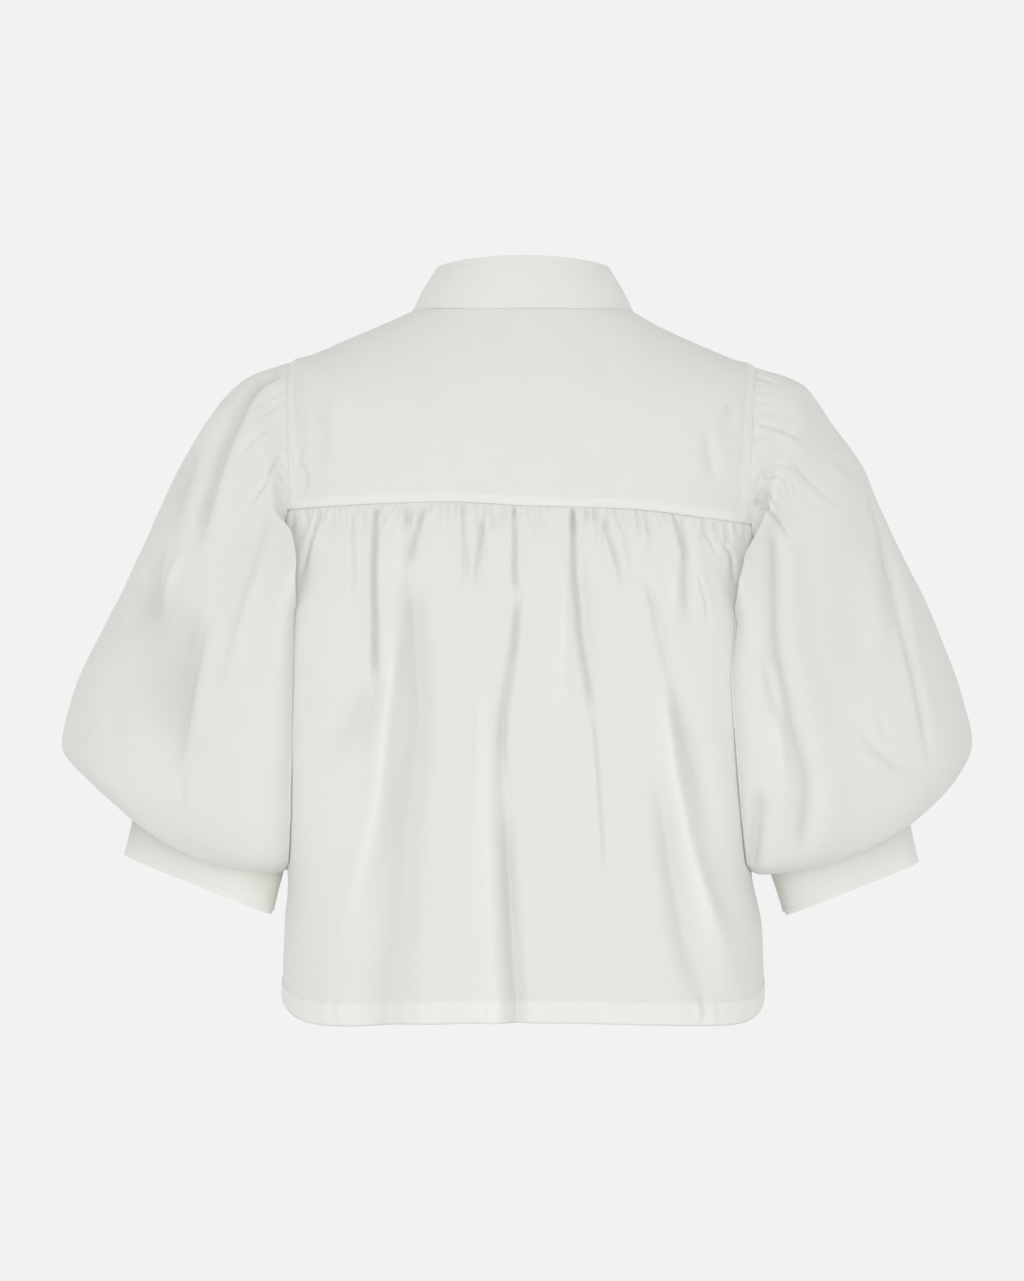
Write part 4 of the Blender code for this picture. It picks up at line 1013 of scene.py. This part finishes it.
def sleeve_points(side, cloth):
    """A balloon sleeve from just under the armhole's edge to just inside the cuff."""
    behind, before = (LEFT_SLEEVE_CREASES, RIGHT_SLEEVE_CREASES)[::side]
    angle = np.linspace(0, 2 * math.pi, 372, endpoint=False)
    turn = np.arctan2(np.sin(angle), np.cos(angle))
    start = hang(armhole_curve(turn) * (side, 1, 1))
    seam = sleeve_ring(cuff_ends(side, 0), angle, side)
    down_cuff = unit(cuff_middle(side, 1) - cuff_middle(side, 0))
    keys = [start] + [clear_of_body(sleeve_ring(ring, angle, side)) for ring in SLEEVES[side]]
    keys = np.array(keys + [seam - down_cuff * 0.0006])
    lengths = np.linalg.norm(np.diff(keys, axis=0), axis=-1).mean(axis=1)
    knots = np.concatenate([[0], np.cumsum(lengths)]) / lengths.sum()
    parts = stepped(0, (0.14, 30), (0.84, 50), (1, 26))
    base = through(knots, keys.reshape(len(keys), -1))(parts).reshape(len(parts), -1, 3)
    normal = cloth_normals(base, wraps=True) * side
    steps = np.linalg.norm(np.diff(base, axis=0), axis=-1)
    away = np.concatenate([np.zeros((1, len(angle))), np.cumsum(steps, axis=0)])
    to_cuff = away[-1:] - away
    round_it = np.broadcast_to(angle, away.shape)
    from_top = np.broadcast_to(np.abs(turn), away.shape)
    drops, laps = np.array(LAPS[side]).T
    over = through(drops, laps)(-base[..., 2]) * ease((from_top - 1.5) / 0.5) * ease(np.sin(round_it) / 0.2)
    over = over * ease(away / 0.010)
    base = base + np.stack([-side * over, 0.8 * over, 0 * over], -1)
    held = ease((2.95 - from_top) / 0.35) * ease(away / 0.004) * ease(to_cuff / 0.012)
    # painted shade: how much darker each point of the sleeve is painted in its creases and gathers
    lift, painted_shade = np.zeros_like(away), np.zeros_like(away)
    pull = np.zeros_like(base)
    for creases, facing in ((behind, 1), (before, -1)):
        weight = ease(facing * np.sin(round_it) / 0.14) * held
        part_lift, part_pull, part_painted_shade = press(base, creases, outwards=side)
        lift += part_lift * weight * cloth.fold_depth
        painted_shade += part_painted_shade * weight
        pull += part_pull * (weight * normal[..., 1] ** 2)[..., None]
    cap = puckers(PUCKER_SEED + 20 + side, CAP_PUCKERS, -2.0, 2.0, (0.008, 0.030), (0.0003, 0.0012))
    gathered = pucker_relief(np.broadcast_to(turn, away.shape), away, cap)
    gathered *= ease((1.80 - from_top) / 0.45) * ease((away + 0.001) / 0.005)
    wrist = puckers(PUCKER_SEED + 30 + side, CUFF_PUCKERS, 0, 2 * math.pi, (0.014, 0.040), (0.0008, 0.0020))
    gathered += pucker_relief(round_it, to_cuff, wrist, 2 * math.pi)
    lift += gathered * cloth.pucker_depth
    # painted shade in the fine gathers at the armhole and the cuff
    painted_shade += 0.2 * np.clip(-gathered / 0.0015, 0, 1)
    lift += rumple(base, ((0.080, 0.0016), (0.030, 0.0006)), 12 + side) * held
    lift += 0.0004 * (1 - ease(away / 0.006)) - 0.0010 * (1 - ease(to_cuff / 0.004))
    points = clear_of_body(base + normal * lift[..., None] + pull, ease(away / 0.012))
    tucked = points[:1] - unit(points[2:3] - points[:1]) * 0.0035 - normal[:1] * 0.0006
    inside = points[-1:] + down_cuff * 0.004
    return np.concatenate([tucked, points, inside]), np.concatenate([painted_shade[:1], painted_shade, painted_shade[-1:]])


def cuff_points(side):
    """A plain closed band at the wrist end of a sleeve."""
    angle = np.linspace(0, 2 * math.pi, 200, endpoint=False)
    boxy = boxiness(np.cos(angle), np.sin(angle), CUFF_SQUARE)[:, None]
    parts = np.linspace(0, 1, 26)
    rows = []
    for part in parts:
        middle = cuff_middle(side, part)
        rows.append(middle + (sleeve_ring(cuff_ends(side, part), angle, side) - middle) * (1 + (boxy - 1) * part))
    points = np.array(rows)
    normal = cloth_normals(points, wraps=True) * side
    low, high = CUFF_STITCHING
    groove = 0.0003 * (bell(parts - high, 0.03) + bell(parts - low, 0.03))[:, None]
    lift = rumple(points, ((0.045, 0.0007), (0.018, 0.0002)), 16 + side) - groove
    # painted shade under the balloon, darkest at the cuff's top outer end, and painted light at its inner end by the
    # body
    outer = 0.5 + 0.5 * np.cos(angle)
    under = (bell(parts, 0.65)[:, None] * outer - 1.1 * (1 - outer) ** 2) * CUFF_SHADE[side]
    return points + normal * lift[..., None], under


# ------------------------------ stitching

STITCH_SHARE = 0.74  # how much of the distance from one stitch to the next it fills
MIRROR = (-1, 1, 1)


def evenly(curve, pitch):
    """Places and directions along a curve, a pitch apart."""
    run = run_along(curve)
    where = np.arange(0.5 * pitch, run[-1], pitch)
    at, ahead, behind = (
        np.stack([np.interp(where + shift * pitch, run, curve[:, axis]) for axis in range(3)], -1)
        for shift in (0, 0.2, -0.2)
    )
    return at, unit(ahead - behind)


def stitch_shape(length, radius):
    """One stitch lying along X: its points, ends dipping into the cloth, and its faces."""
    sides, along = 5, ((-0.5, 0.35, -0.8), (-0.28, 1.0, 0.1), (0.28, 1.0, 0.1), (0.5, 0.35, -0.8))
    turns = np.linspace(0, 2 * math.pi, sides, endpoint=False)
    points = [
        (part * length, radius * size * math.cos(turn), radius * (lift + size * math.sin(turn)))
        for part, size, lift in along
        for turn in turns
    ]
    faces = [
        (ring * sides + side, ring * sides + (side + 1) % sides, (ring + 1) * sides + (side + 1) % sides,
         (ring + 1) * sides + side)
        for ring in range(len(along) - 1)
        for side in range(sides)
    ]
    caps = [tuple(range(sides))[::-1], tuple(range((len(along) - 1) * sides, len(along) * sides))]
    return np.array(points), faces + caps


def stitch_object(name, seams, sewing, material):
    """Rows of stitches lying on pieces of cloth: seams are (piece, curve near its face, ...)."""
    shape, faces = stitch_shape(sewing.stitch * STITCH_SHARE, sewing.thread / 2)
    copies = []
    for piece, *curves in seams:
        tree = BVHTree.FromPolygons(
            [vertex.co for vertex in piece.data.vertices], [face.vertices for face in piece.data.polygons]
        )
        for curve in curves:
            for at, along in zip(*evenly(hang(curve), sewing.stitch)):
                place, normal, _, _ = tree.find_nearest(Vector(at))
                out = (Vector(at) - place).normalized()
                normal = out if out.length > 0.5 else normal
                side = normal.cross(Vector(along)).normalized()
                copies.append(shape @ np.array([side.cross(normal), side, normal]) + np.array(place))
    return smooth_object(name, *joined(copies, faces), material)


def body_line(angles, downs, lift=0.002):
    angles, downs = np.broadcast_arrays(angles, downs)
    return smooth_body(angles, downs) + body_normal(angles, downs) * lift


def inset_armhole(turns, inset):
    """A line on the body this far in from the armhole's edge."""
    normal = body_normal(*armhole_place(turns))
    edge = armhole_curve(turns)
    inwards = unit(np.cross(normal, np.gradient(edge, axis=0)))
    return edge + inwards * inset + normal * 0.002


def body_seams(sewing):
    """The lines of stitches on yoke, back and fronts: along the yoke seam, the armholes and the hem."""
    piece = bpy.data.objects
    across = np.linspace(ARMHOLE_BACK + 0.03, math.pi - ARMHOLE_BACK - 0.03, 160)
    yoke_line = body_line(across, DOWN["yoke seam"] - 0.0012)
    upper, lower, before = (
        inset_armhole(np.linspace(first, last, count), sewing.allowance)
        for first, last, count in (
            (0.05, math.pi / 2, 60), (math.pi / 2 + 0.02, math.pi - 0.5, 40), (-math.pi + 0.5, -SEAM_TURN - 0.04, 70),
        )
    )
    hem_down = DOWN["hem"] - sewing.hem_depth
    back_hem = body_line(np.linspace(0.02, math.pi - 0.02, 200), hem_down)
    front_hem = body_line(np.linspace(CENTRE_FRONT + 0.12, -0.02, 110), hem_down)
    return [
        (piece["yoke_cloth"], yoke_line, upper, upper * MIRROR),
        (piece["back_cloth"], lower, lower * MIRROR, back_hem),
        (piece["front_left_cloth"], before, front_hem),
        (piece["front_right_cloth"], before * MIRROR, front_hem * MIRROR),
    ]


def band_seams():
    """The lines of stitches on the bands, the collar and the cuffs."""
    piece, seams = bpy.data.objects, []
    downs = np.linspace(0.004, DOWN["hem"] - 0.003, 260)
    inset = (LAP - 0.0035) / BODY["half_width"](downs)
    for name, sink in (("left", LAP_SINK), ("right", 0)):
        edges = [body_line(CENTRE_FRONT + edge * inset, downs, 0.0025 - sink) for edge in (-1, 1)]
        seams.append((piece[f"placket_{name}_cloth"], *edges))
    angles = np.linspace(CENTRE_FRONT - 0.05, math.radians(270) + 0.10, 240)
    base, top = smooth_body(angles, 0), ring_point(angles, *COLLAR_TOP[2:])
    low, high = (base + (top - base) * part + unit(base * (1, 1, 0)) * 0.003 for part in COLLAR_STITCHING)
    seams.append((piece["collar_cloth"], low, high[14:-14]))  # the upper line stops short of the rounded ends
    for name, side in SIDES:
        rings = [sleeve_ring(cuff_ends(side, part), np.linspace(0, 2 * math.pi, 220), side) for part in CUFF_STITCHING]
        lines = [ring + unit(ring - ring.mean(axis=0)) * 0.002 for ring in rings]
        seams.append((piece[f"cuff_{name}_cloth"], *lines))
    return seams


# ------------------------------ buttons

BUTTON_HEIGHT = 0.0024
BUTTON_ROUND = 0.0004
HOLE_RADIUS = 0.00065
HOLE_PLACE = 0.0011  # from the button's middle, both ways
BAR_RADIUS = 0.00022  # of the threads that cross the button
BAR_LENGTH = 0.0032
BAR_HEIGHT = 0.0021
BAR_APART = 0.0002


def button_blank(sewing):
    """One four-hole button, lying face up at the origin: a disc with a dished middle and rounded rims."""
    radius, height = sewing.button_size / 2, BUTTON_HEIGHT
    bpy.ops.object.select_all(action="DESELECT")
    bpy.ops.mesh.primitive_cylinder_add(vertices=40, radius=radius, depth=height, location=(0, 0, height / 2))
    button = bpy.context.active_object
    bpy.ops.object.mode_set(mode="EDIT")
    bpy.ops.mesh.select_mode(type="FACE")
    bpy.ops.mesh.select_all(action="DESELECT")
    bpy.ops.object.mode_set(mode="OBJECT")
    top = max(button.data.polygons, key=lambda face: face.center.z)
    top.select = True
    bpy.ops.object.mode_set(mode="EDIT")
    bpy.ops.mesh.inset(thickness=0.24 * radius, depth=0)
    bpy.ops.mesh.inset(thickness=0.12 * radius, depth=-0.0006)
    bpy.ops.object.mode_set(mode="OBJECT")
    apply_modifier(button, "BEVEL", width=BUTTON_ROUND, segments=3, limit_method="ANGLE", angle_limit=math.radians(25))
    for x, y in ((-1, -1), (-1, 1), (1, -1), (1, 1)):
        bpy.ops.object.select_all(action="DESELECT")
        bpy.ops.mesh.primitive_cylinder_add(vertices=14, radius=HOLE_RADIUS, depth=3 * height,
                                            location=(HOLE_PLACE * x, HOLE_PLACE * y, height / 2))
        drill = bpy.context.active_object
        select_only(button)
        apply_modifier(button, "BOOLEAN", operation="DIFFERENCE", object=drill)
        bpy.data.objects.remove(drill)
    bpy.ops.object.shade_smooth_by_angle(angle=math.radians(40))
    return button


def thread_cross():
    """The crossed threads that hold a button, in its own place at the origin."""
    bpy.ops.object.select_all(action="DESELECT")
    bars = []
    for turn in (45, -45):
        for offset in (-BAR_APART, BAR_APART):
            shift = Vector((0, offset, BAR_HEIGHT + 0.0001 * (turn > 0)))
            shift.rotate(Matrix.Rotation(math.radians(turn), 3, "Z").to_euler())
            bpy.ops.mesh.primitive_cylinder_add(vertices=8, radius=BAR_RADIUS, depth=BAR_LENGTH, location=shift,
                                                rotation=(0, math.pi / 2, math.radians(turn)))
            bars.append(bpy.context.active_object)
    for bar in bars:
        bar.select_set(True)
    bpy.ops.object.join()
    cross = bpy.context.active_object
    bpy.ops.object.transform_apply(location=True, rotation=True, scale=True)
    cross.data.shade_smooth()
    return cross


def button_seats():
    """Where each button sits and which way it faces, as its solid does: one on the collar, the others below it."""
    downs = np.linspace(0, DOWN["hem"], 400)
    base = smooth_body(CENTRE_FRONT, 0)
    top = ring_point(np.array(CENTRE_FRONT), *COLLAR_TOP[2:])
    seats = [(0.5 * (base + top) + np.array([0, -COLLAR_BOW, 0]), unit(np.cross((1, 0, 0), top - base)))]
    for index in range(BUTTON_COUNT):
        z = FIRST_BUTTON_Z - BUTTON_PITCH * index
        down = np.interp(-z, -BODY["front_z"](downs), downs)
        normal = body_normal(CENTRE_FRONT, down)
        seats.append((smooth_body(CENTRE_FRONT, down) + normal * 0.0015, normal))
    return seats


def seat_matrix(place, normal):
    """A button's place, its face along the normal and its holes square to the placket."""
    face = Vector(normal).normalized()
    side = Vector((1, 0, 0))
    up = face.cross(side).normalized()
    turn = Matrix((side, up, face)).transposed()
    return Matrix.Translation(Vector(place)) @ turn.to_4x4()


def buttonhole_shape(length):
    """A worked buttonhole lying along Y: two close rows of thread and a bar across each end."""
    shape, faces = stitch_shape(0.0022, 0.00022)
    across = shape[:, [1, 0, 2]] * MIRROR
    rows = int(length / 0.00036)
    copies = []
    for row in range(rows):
        y = -length / 2 + length * (row + 0.5) / rows
        copies += [shape + (x, y, 0) for x in (-0.0012, 0.0012)]
    for end in (-1, 1):
        y = end * (length / 2 + 0.0006)
        copies += [across + (-0.0018 + 0.0006 * bar, y, 0.0001) for bar in range(7)]
    return joined(copies, faces)


# ------------------------------ settings


class ShirtCloth(bpy.types.PropertyGroup):
    """The cloth that every piece is cut from."""

    colour: bpy.props.FloatVectorProperty(
        name="Colour", description="Colour of one thickness of the cotton", subtype="COLOR", size=3, min=0, max=1,
        default=(0.704, 0.717, 0.675),
    )
    double_gain: bpy.props.FloatProperty(
        name="Double gain", description="How much whiter the cotton looks where it lies double", default=0.055,
        min=0, max=0.2, subtype="FACTOR",
    )
    # how strongly the painted shade darkens the cotton's colour
    painted_shade_loss: bpy.props.FloatProperty(
        name="Hollow loss", description="How much darker the cotton looks deep in a sharp crease", default=0.11,
        min=0, max=0.5, subtype="FACTOR",
    )
    wall: bpy.props.FloatProperty(
        name="Wall", description="Thickness of one layer of cloth", default=0.0006, min=0.0003, max=0.002,
        unit="LENGTH", precision=4,
    )
    band_wall: bpy.props.FloatProperty(
        name="Band wall", description="Thickness of the doubled collar and cuffs", default=0.0014, min=0.0006,
        max=0.004, unit="LENGTH", precision=4,
    )
    fold_depth: bpy.props.FloatProperty(
        name="Fold depth", description="Depth of the creases against their true depth", default=1.0, min=0, max=2,
        subtype="FACTOR",
    )
    pucker_depth: bpy.props.FloatProperty(
        name="Pucker depth", description="Depth of the fine gathers against their true depth", default=1.0, min=0,
        max=2, subtype="FACTOR",
    )


class ShirtSewing(bpy.types.PropertyGroup):
    """The stitching, hems and buttons."""

    allowance: bpy.props.FloatProperty(
        name="Seam allowance", description="Width of the doubled strip along the yoke and armhole seams",
        default=0.0095, min=0.004, max=0.02, unit="LENGTH", precision=4,
    )
    hem_depth: bpy.props.FloatProperty(
        name="Hem depth", description="Height of the turned-up hem", default=0.0205, min=0.005, max=0.05,
        unit="LENGTH", precision=4,
    )
    stitch: bpy.props.FloatProperty(
        name="Stitch", description="Distance from one stitch to the next", default=0.0029, min=0.001, max=0.006,
        unit="LENGTH", precision=4,
    )
    thread: bpy.props.FloatProperty(
        name="Thread", description="Thickness of the sewing thread", default=0.00036, min=0.0001, max=0.001,
        unit="LENGTH", precision=5,
    )
    button_size: bpy.props.FloatProperty(
        name="Button size", description="Diameter of a button", default=0.011, min=0.006, max=0.02, unit="LENGTH",
        precision=4,
    )
    button_colour: bpy.props.FloatVectorProperty(
        name="Button colour", description="Colour of the buttons", subtype="COLOR", size=3, min=0, max=1,
        default=(0.80, 0.79, 0.75),
    )


class ShirtStage(bpy.types.PropertyGroup):
    """The floor, the light and the camera."""

    backdrop: bpy.props.FloatProperty(
        name="Backdrop", description="Brightness of the pale grey behind the shirt", default=0.888, min=0, max=1,
    )
    surround: bpy.props.FloatProperty(
        name="Surround light", description="Brightness of the even light from all round", default=0.70, min=0, max=2,
    )
    overhead: bpy.props.FloatProperty(
        name="Overhead share", description="Brightness of the light from above against the light from the sides",
        default=1.16, min=0, max=2, subtype="FACTOR",
    )
    key: bpy.props.FloatProperty(
        name="Key light", description="Power of each wide lamp on the wearer's left", default=17.0, min=0, max=500,
        unit="POWER",
    )
    fill: bpy.props.FloatProperty(
        name="Fill light", description="Power of each wide lamp on the wearer's right", default=13.5, min=0, max=500,
        unit="POWER",
    )
    straight: bpy.props.FloatProperty(
        name="Straight light", description="Power of the lamps straight behind and before the shirt", default=15.0,
        min=0, max=500, unit="POWER",
    )
    floor_drop: bpy.props.FloatProperty(
        name="Floor drop", description="Height of the worn shirt's back neck seam above the floor", default=1.42,
        min=0.7, max=2, unit="LENGTH",
    )
    camera_distance: bpy.props.FloatProperty(
        name="Camera distance", description="From the middle of the shirt to the camera", default=2.54, min=1,
        max=10, unit="LENGTH",
    )
    lens: bpy.props.FloatProperty(
        name="Lens", description="Focal length of the camera", default=85.0, min=20, max=300, unit="CAMERA",
    )


# ------------------------------ operators


def shirting(context):
    return material_of("woven_cotton", shirting_material, context.scene.shirt_cloth)


class SHIRT_OT_yoke(bpy.types.Operator):
    """Cut the deep back yoke, smooth over both shoulders, with its seam allowances showing through"""

    bl_idname = "shirt.yoke"
    bl_label = "Yoke"

    def execute(self, context):
        cloth, sewing = context.scene.shirt_cloth, context.scene.shirt_sewing
        points, layers, painted_shade = yoke_points(cloth, sewing)
        yoke = sheet_object("yoke_cloth", points, shirting(context), cloth.wall, layers, painted_shade)
        sew_in(yoke, "back_yoke")
        return {"FINISHED"}


class SHIRT_OT_back(bpy.types.Operator):
    """Cut the back panel and gather it into the yoke seam"""

    bl_idname = "shirt.back"
    bl_label = "Back"

    def execute(self, context):
        cloth, sewing = context.scene.shirt_cloth, context.scene.shirt_sewing
        points, layers, painted_shade = back_points(cloth, sewing)
        back = sheet_object("back_cloth", points, shirting(context), cloth.wall, layers, painted_shade)
        sew_in(back, "back_panel")
        return {"FINISHED"}


class SHIRT_OT_fronts(bpy.types.Operator):
    """Cut both fronts and the bands down their edges, the right one lapping over the left"""

    bl_idname = "shirt.fronts"
    bl_label = "Fronts"

    def execute(self, context):
        cloth, sewing = context.scene.shirt_cloth, context.scene.shirt_sewing
        for name, side in SIDES:
            points, layers, painted_shade = front_points(side, cloth, sewing)
            front = sheet_object(f"front_{name}_cloth", points, shirting(context), cloth.wall, layers, painted_shade,
                                 flip=side < 0)
            sew_in(front, f"front_{name}")
            band = sheet_object(f"placket_{name}_cloth", placket_points(side), shirting(context), cloth.wall, 1)
            sew_in(band, f"placket_{name}")
        return {"FINISHED"}


class SHIRT_OT_collar(bpy.types.Operator):
    """Sew on the stand collar"""

    bl_idname = "shirt.collar"
    bl_label = "Collar"

    def execute(self, context):
        cloth = context.scene.shirt_cloth
        collar = sheet_object("collar_cloth", collar_points(), shirting(context), cloth.band_wall, 0.4,
                              rounded=BAND_ROUND)
        sew_in(collar, "collar_band")
        return {"FINISHED"}


class SHIRT_OT_sleeves(bpy.types.Operator):
    """Gather both balloon sleeves into the armholes and the cuffs"""

    bl_idname = "shirt.sleeves"
    bl_label = "Sleeves"

    def execute(self, context):
        cloth = context.scene.shirt_cloth
        for name, side in SIDES:
            points, painted_shade = sleeve_points(side, cloth)
            sleeve = sheet_object(f"sleeve_{name}_cloth", points, shirting(context), cloth.wall, 0, painted_shade,
                                  wraps=True, flip=side < 0)
            sew_in(sleeve, f"sleeve_{name}")
        return {"FINISHED"}


class SHIRT_OT_cuffs(bpy.types.Operator):
    """Sew the plain bands onto the sleeves"""

    bl_idname = "shirt.cuffs"
    bl_label = "Cuffs"

    def execute(self, context):
        cloth = context.scene.shirt_cloth
        for name, side in SIDES:
            points, painted_shade = cuff_points(side)
            cuff = sheet_object(f"cuff_{name}_cloth", points, shirting(context), cloth.band_wall, 1, painted_shade,
                                wraps=True, flip=side < 0, rounded=BAND_ROUND)
            sew_in(cuff, f"cuff_{name}")
        return {"FINISHED"}


class SHIRT_OT_stitching(bpy.types.Operator):
    """Run the topstitching along the seams, hem, bands and buttonholes"""

    bl_idname = "shirt.stitching"
    bl_label = "Stitching"

    def execute(self, context):
        thread = material_of("sewing_thread", thread_material, context.scene.shirt_cloth)
        sewing = context.scene.shirt_sewing
        sew_in(stitch_object("topstitching", body_seams(sewing) + band_seams(), sewing, thread))
        return {"FINISHED"}


class SHIRT_OT_buttons(bpy.types.Operator):
    """Turn one button, copy it down the placket and work a buttonhole under each"""

    bl_idname = "shirt.buttons"
    bl_label = "Buttons"

    def execute(self, context):
        sewing = context.scene.shirt_sewing
        plastic = material_of("pearl_button", button_material, sewing)
        thread = material_of("sewing_thread", thread_material, context.scene.shirt_cloth)
        blank, cross = button_blank(sewing), thread_cross()
        blank.data.materials.clear()
        blank.data.materials.append(plastic)
        cross.data.materials.append(thread)
        for index, (place, normal) in enumerate(button_seats(), start=1):
            button, stitches = (
                linked(f"{name}_{index}_sewn", form.data.copy())
                for name, form in (("button", blank), ("button_thread", cross))
            )
            for copy in (button, stitches):
                copy.data.transform(seat_matrix(place, normal))
            sew_in(button, f"button_{index}", finish="button")
            sew_in(stitches)
        hole, faces = buttonhole_shape(sewing.button_size + 0.003)
        copies = []
        for place, normal in button_seats()[1:]:
            seat = np.array(seat_matrix(place - normal * 0.0001, normal))
            copies.append(hole @ seat[:3, :3].T + seat[:3, 3])
        sew_in(smooth_object("buttonholes", *joined(copies, faces), thread))
        for form in (blank, cross):
            bpy.data.objects.remove(form)
        return {"FINISHED"}


LAMP_AIM = (0, 0, -0.27)
LAMP_OUT = 2.31  # how far to the side the wide lamps stand
LAMP_DEEP = 2.76  # and how far behind and before the shirt
CAMERA_ACROSS = 0.0092
CAMERA_HEIGHT = -0.2733


def studio_lamp(name, place, size, power):
    lamp = bpy.data.lights.new(name, "AREA")
    lamp.size = size
    lamp.energy = power
    obj = linked(name, lamp)
    obj.location = place
    obj.rotation_euler = (Vector(LAMP_AIM) - Vector(place)).to_track_quat("-Z", "Y").to_euler()
    obj.visible_camera = False


def floor_material():
    """Pale matt floor that fades into the backdrop away from the shirt."""
    finish, shader = new_material("pale_floor", (0.86, 0.86, 0.86), 0.9)
    tree = finish.node_tree
    length = tree.nodes.new("ShaderNodeVectorMath")
    length.operation = "LENGTH"
    link(tree, tree.nodes.new("ShaderNodeTexCoord").outputs["Object"], length.inputs[0])
    link(tree, range_node(tree, length.outputs["Value"], (0.7, 2.2), (1.0, 0.0)), shader.inputs["Alpha"])
    return finish


def studio_world(stage):
    """The light from all round, a little brighter from above, and the plain backdrop that the camera sees."""
    world = bpy.data.worlds.new("studio")
    world.use_nodes = True
    tree = world.node_tree
    tree.nodes.clear()
    place, split, seen, felt, path, mix, out = (
        tree.nodes.new(f"ShaderNode{kind}")
        for kind in ("TexCoord", "SeparateXYZ", "Background", "Background", "LightPath", "MixShader", "OutputWorld")
    )
    seen.inputs["Color"].default_value = (stage.backdrop, stage.backdrop, stage.backdrop, 1)
    felt.inputs["Color"].default_value = (1, 1, 1, 1)
    link(tree, place.outputs["Generated"], split.inputs[0])
    overhead = range_node(tree, split.outputs["Z"], (-0.1, 0.9), (1.0, stage.overhead))
    link(tree, math_node(tree, "MULTIPLY", overhead, stage.surround), felt.inputs["Strength"])
    for source, target in zip(
        (path.outputs["Is Camera Ray"], felt.outputs[0], seen.outputs[0], mix.outputs[0]),
        (*mix.inputs, out.inputs["Surface"]),
    ):
        link(tree, source, target)
    return world


class SHIRT_OT_stage(bpy.types.Operator):
    """Set out the pale floor, the soft light and the camera"""

    bl_idname = "shirt.stage"
    bl_label = "Stage"

    def execute(self, context):
        scene, stage = context.scene, context.scene.shirt_stage
        bpy.ops.object.select_all(action="DESELECT")
        drop = (0, 0, -stage.floor_drop)
        bpy.ops.mesh.primitive_circle_add(vertices=96, radius=2.3, fill_type="NGON", location=drop)
        floor = context.active_object
        floor.name = "floor"
        floor.data.materials.append(floor_material())
        for name, deep in (("behind", LAMP_DEEP), ("before", -LAMP_DEEP)):
            studio_lamp(f"key_{name}", (LAMP_OUT, deep, -0.2), 2.0, stage.key)
            studio_lamp(f"fill_{name}", (-LAMP_OUT, deep, -0.2), 2.0, stage.fill)
            studio_lamp(f"straight_{name}", (0, 1.06 * deep, -0.3), 1.0, stage.straight)
        scene.world = studio_world(stage)
        camera = linked("camera", bpy.data.cameras.new("camera"))
        camera.data.lens = stage.lens
        camera.data.sensor_width = 36
        camera.location = (CAMERA_ACROSS, stage.camera_distance, CAMERA_HEIGHT)
        camera.rotation_euler = (math.pi / 2, 0, math.pi)
        scene.camera = camera
        scene.view_settings.view_transform = "Standard"
        scene.view_settings.look = "None"
        return {"FINISHED"}


class SHIRT_PT_panel(bpy.types.Panel):
    """The shirt's settings and its pieces, in the order they are made."""

    bl_label = "Shirt"
    bl_idname = "SHIRT_PT_panel"
    bl_space_type = "VIEW_3D"
    bl_region_type = "UI"
    bl_category = "Shirt"

    def draw(self, context):
        for group in ("shirt_cloth", "shirt_sewing", "shirt_stage"):
            box = self.layout.box()
            settings = getattr(context.scene, group)
            for name in settings.__annotations__:
                box.prop(settings, name)
        for operator in OPERATORS:
            self.layout.operator(operator.bl_idname)


SETTINGS = {"shirt_cloth": ShirtCloth, "shirt_sewing": ShirtSewing, "shirt_stage": ShirtStage}
OPERATORS = (
    SHIRT_OT_stage, SHIRT_OT_yoke, SHIRT_OT_back, SHIRT_OT_fronts, SHIRT_OT_collar, SHIRT_OT_sleeves,
    SHIRT_OT_cuffs, SHIRT_OT_stitching, SHIRT_OT_buttons,
)


def register():
    for group in (*SETTINGS.values(), *OPERATORS, SHIRT_PT_panel):
        bpy.utils.register_class(group)
    for name, group in SETTINGS.items():
        setattr(bpy.types.Scene, name, bpy.props.PointerProperty(type=group))


def unregister():
    for name in SETTINGS:
        delattr(bpy.types.Scene, name)
    for group in (SHIRT_PT_panel, *reversed(OPERATORS), *reversed(SETTINGS.values())):
        bpy.utils.unregister_class(group)


def main():
    register()
    for operator in OPERATORS:
        getattr(bpy.ops.shirt, operator.bl_idname.removeprefix("shirt."))()


if __name__ == "__main__":
    main()
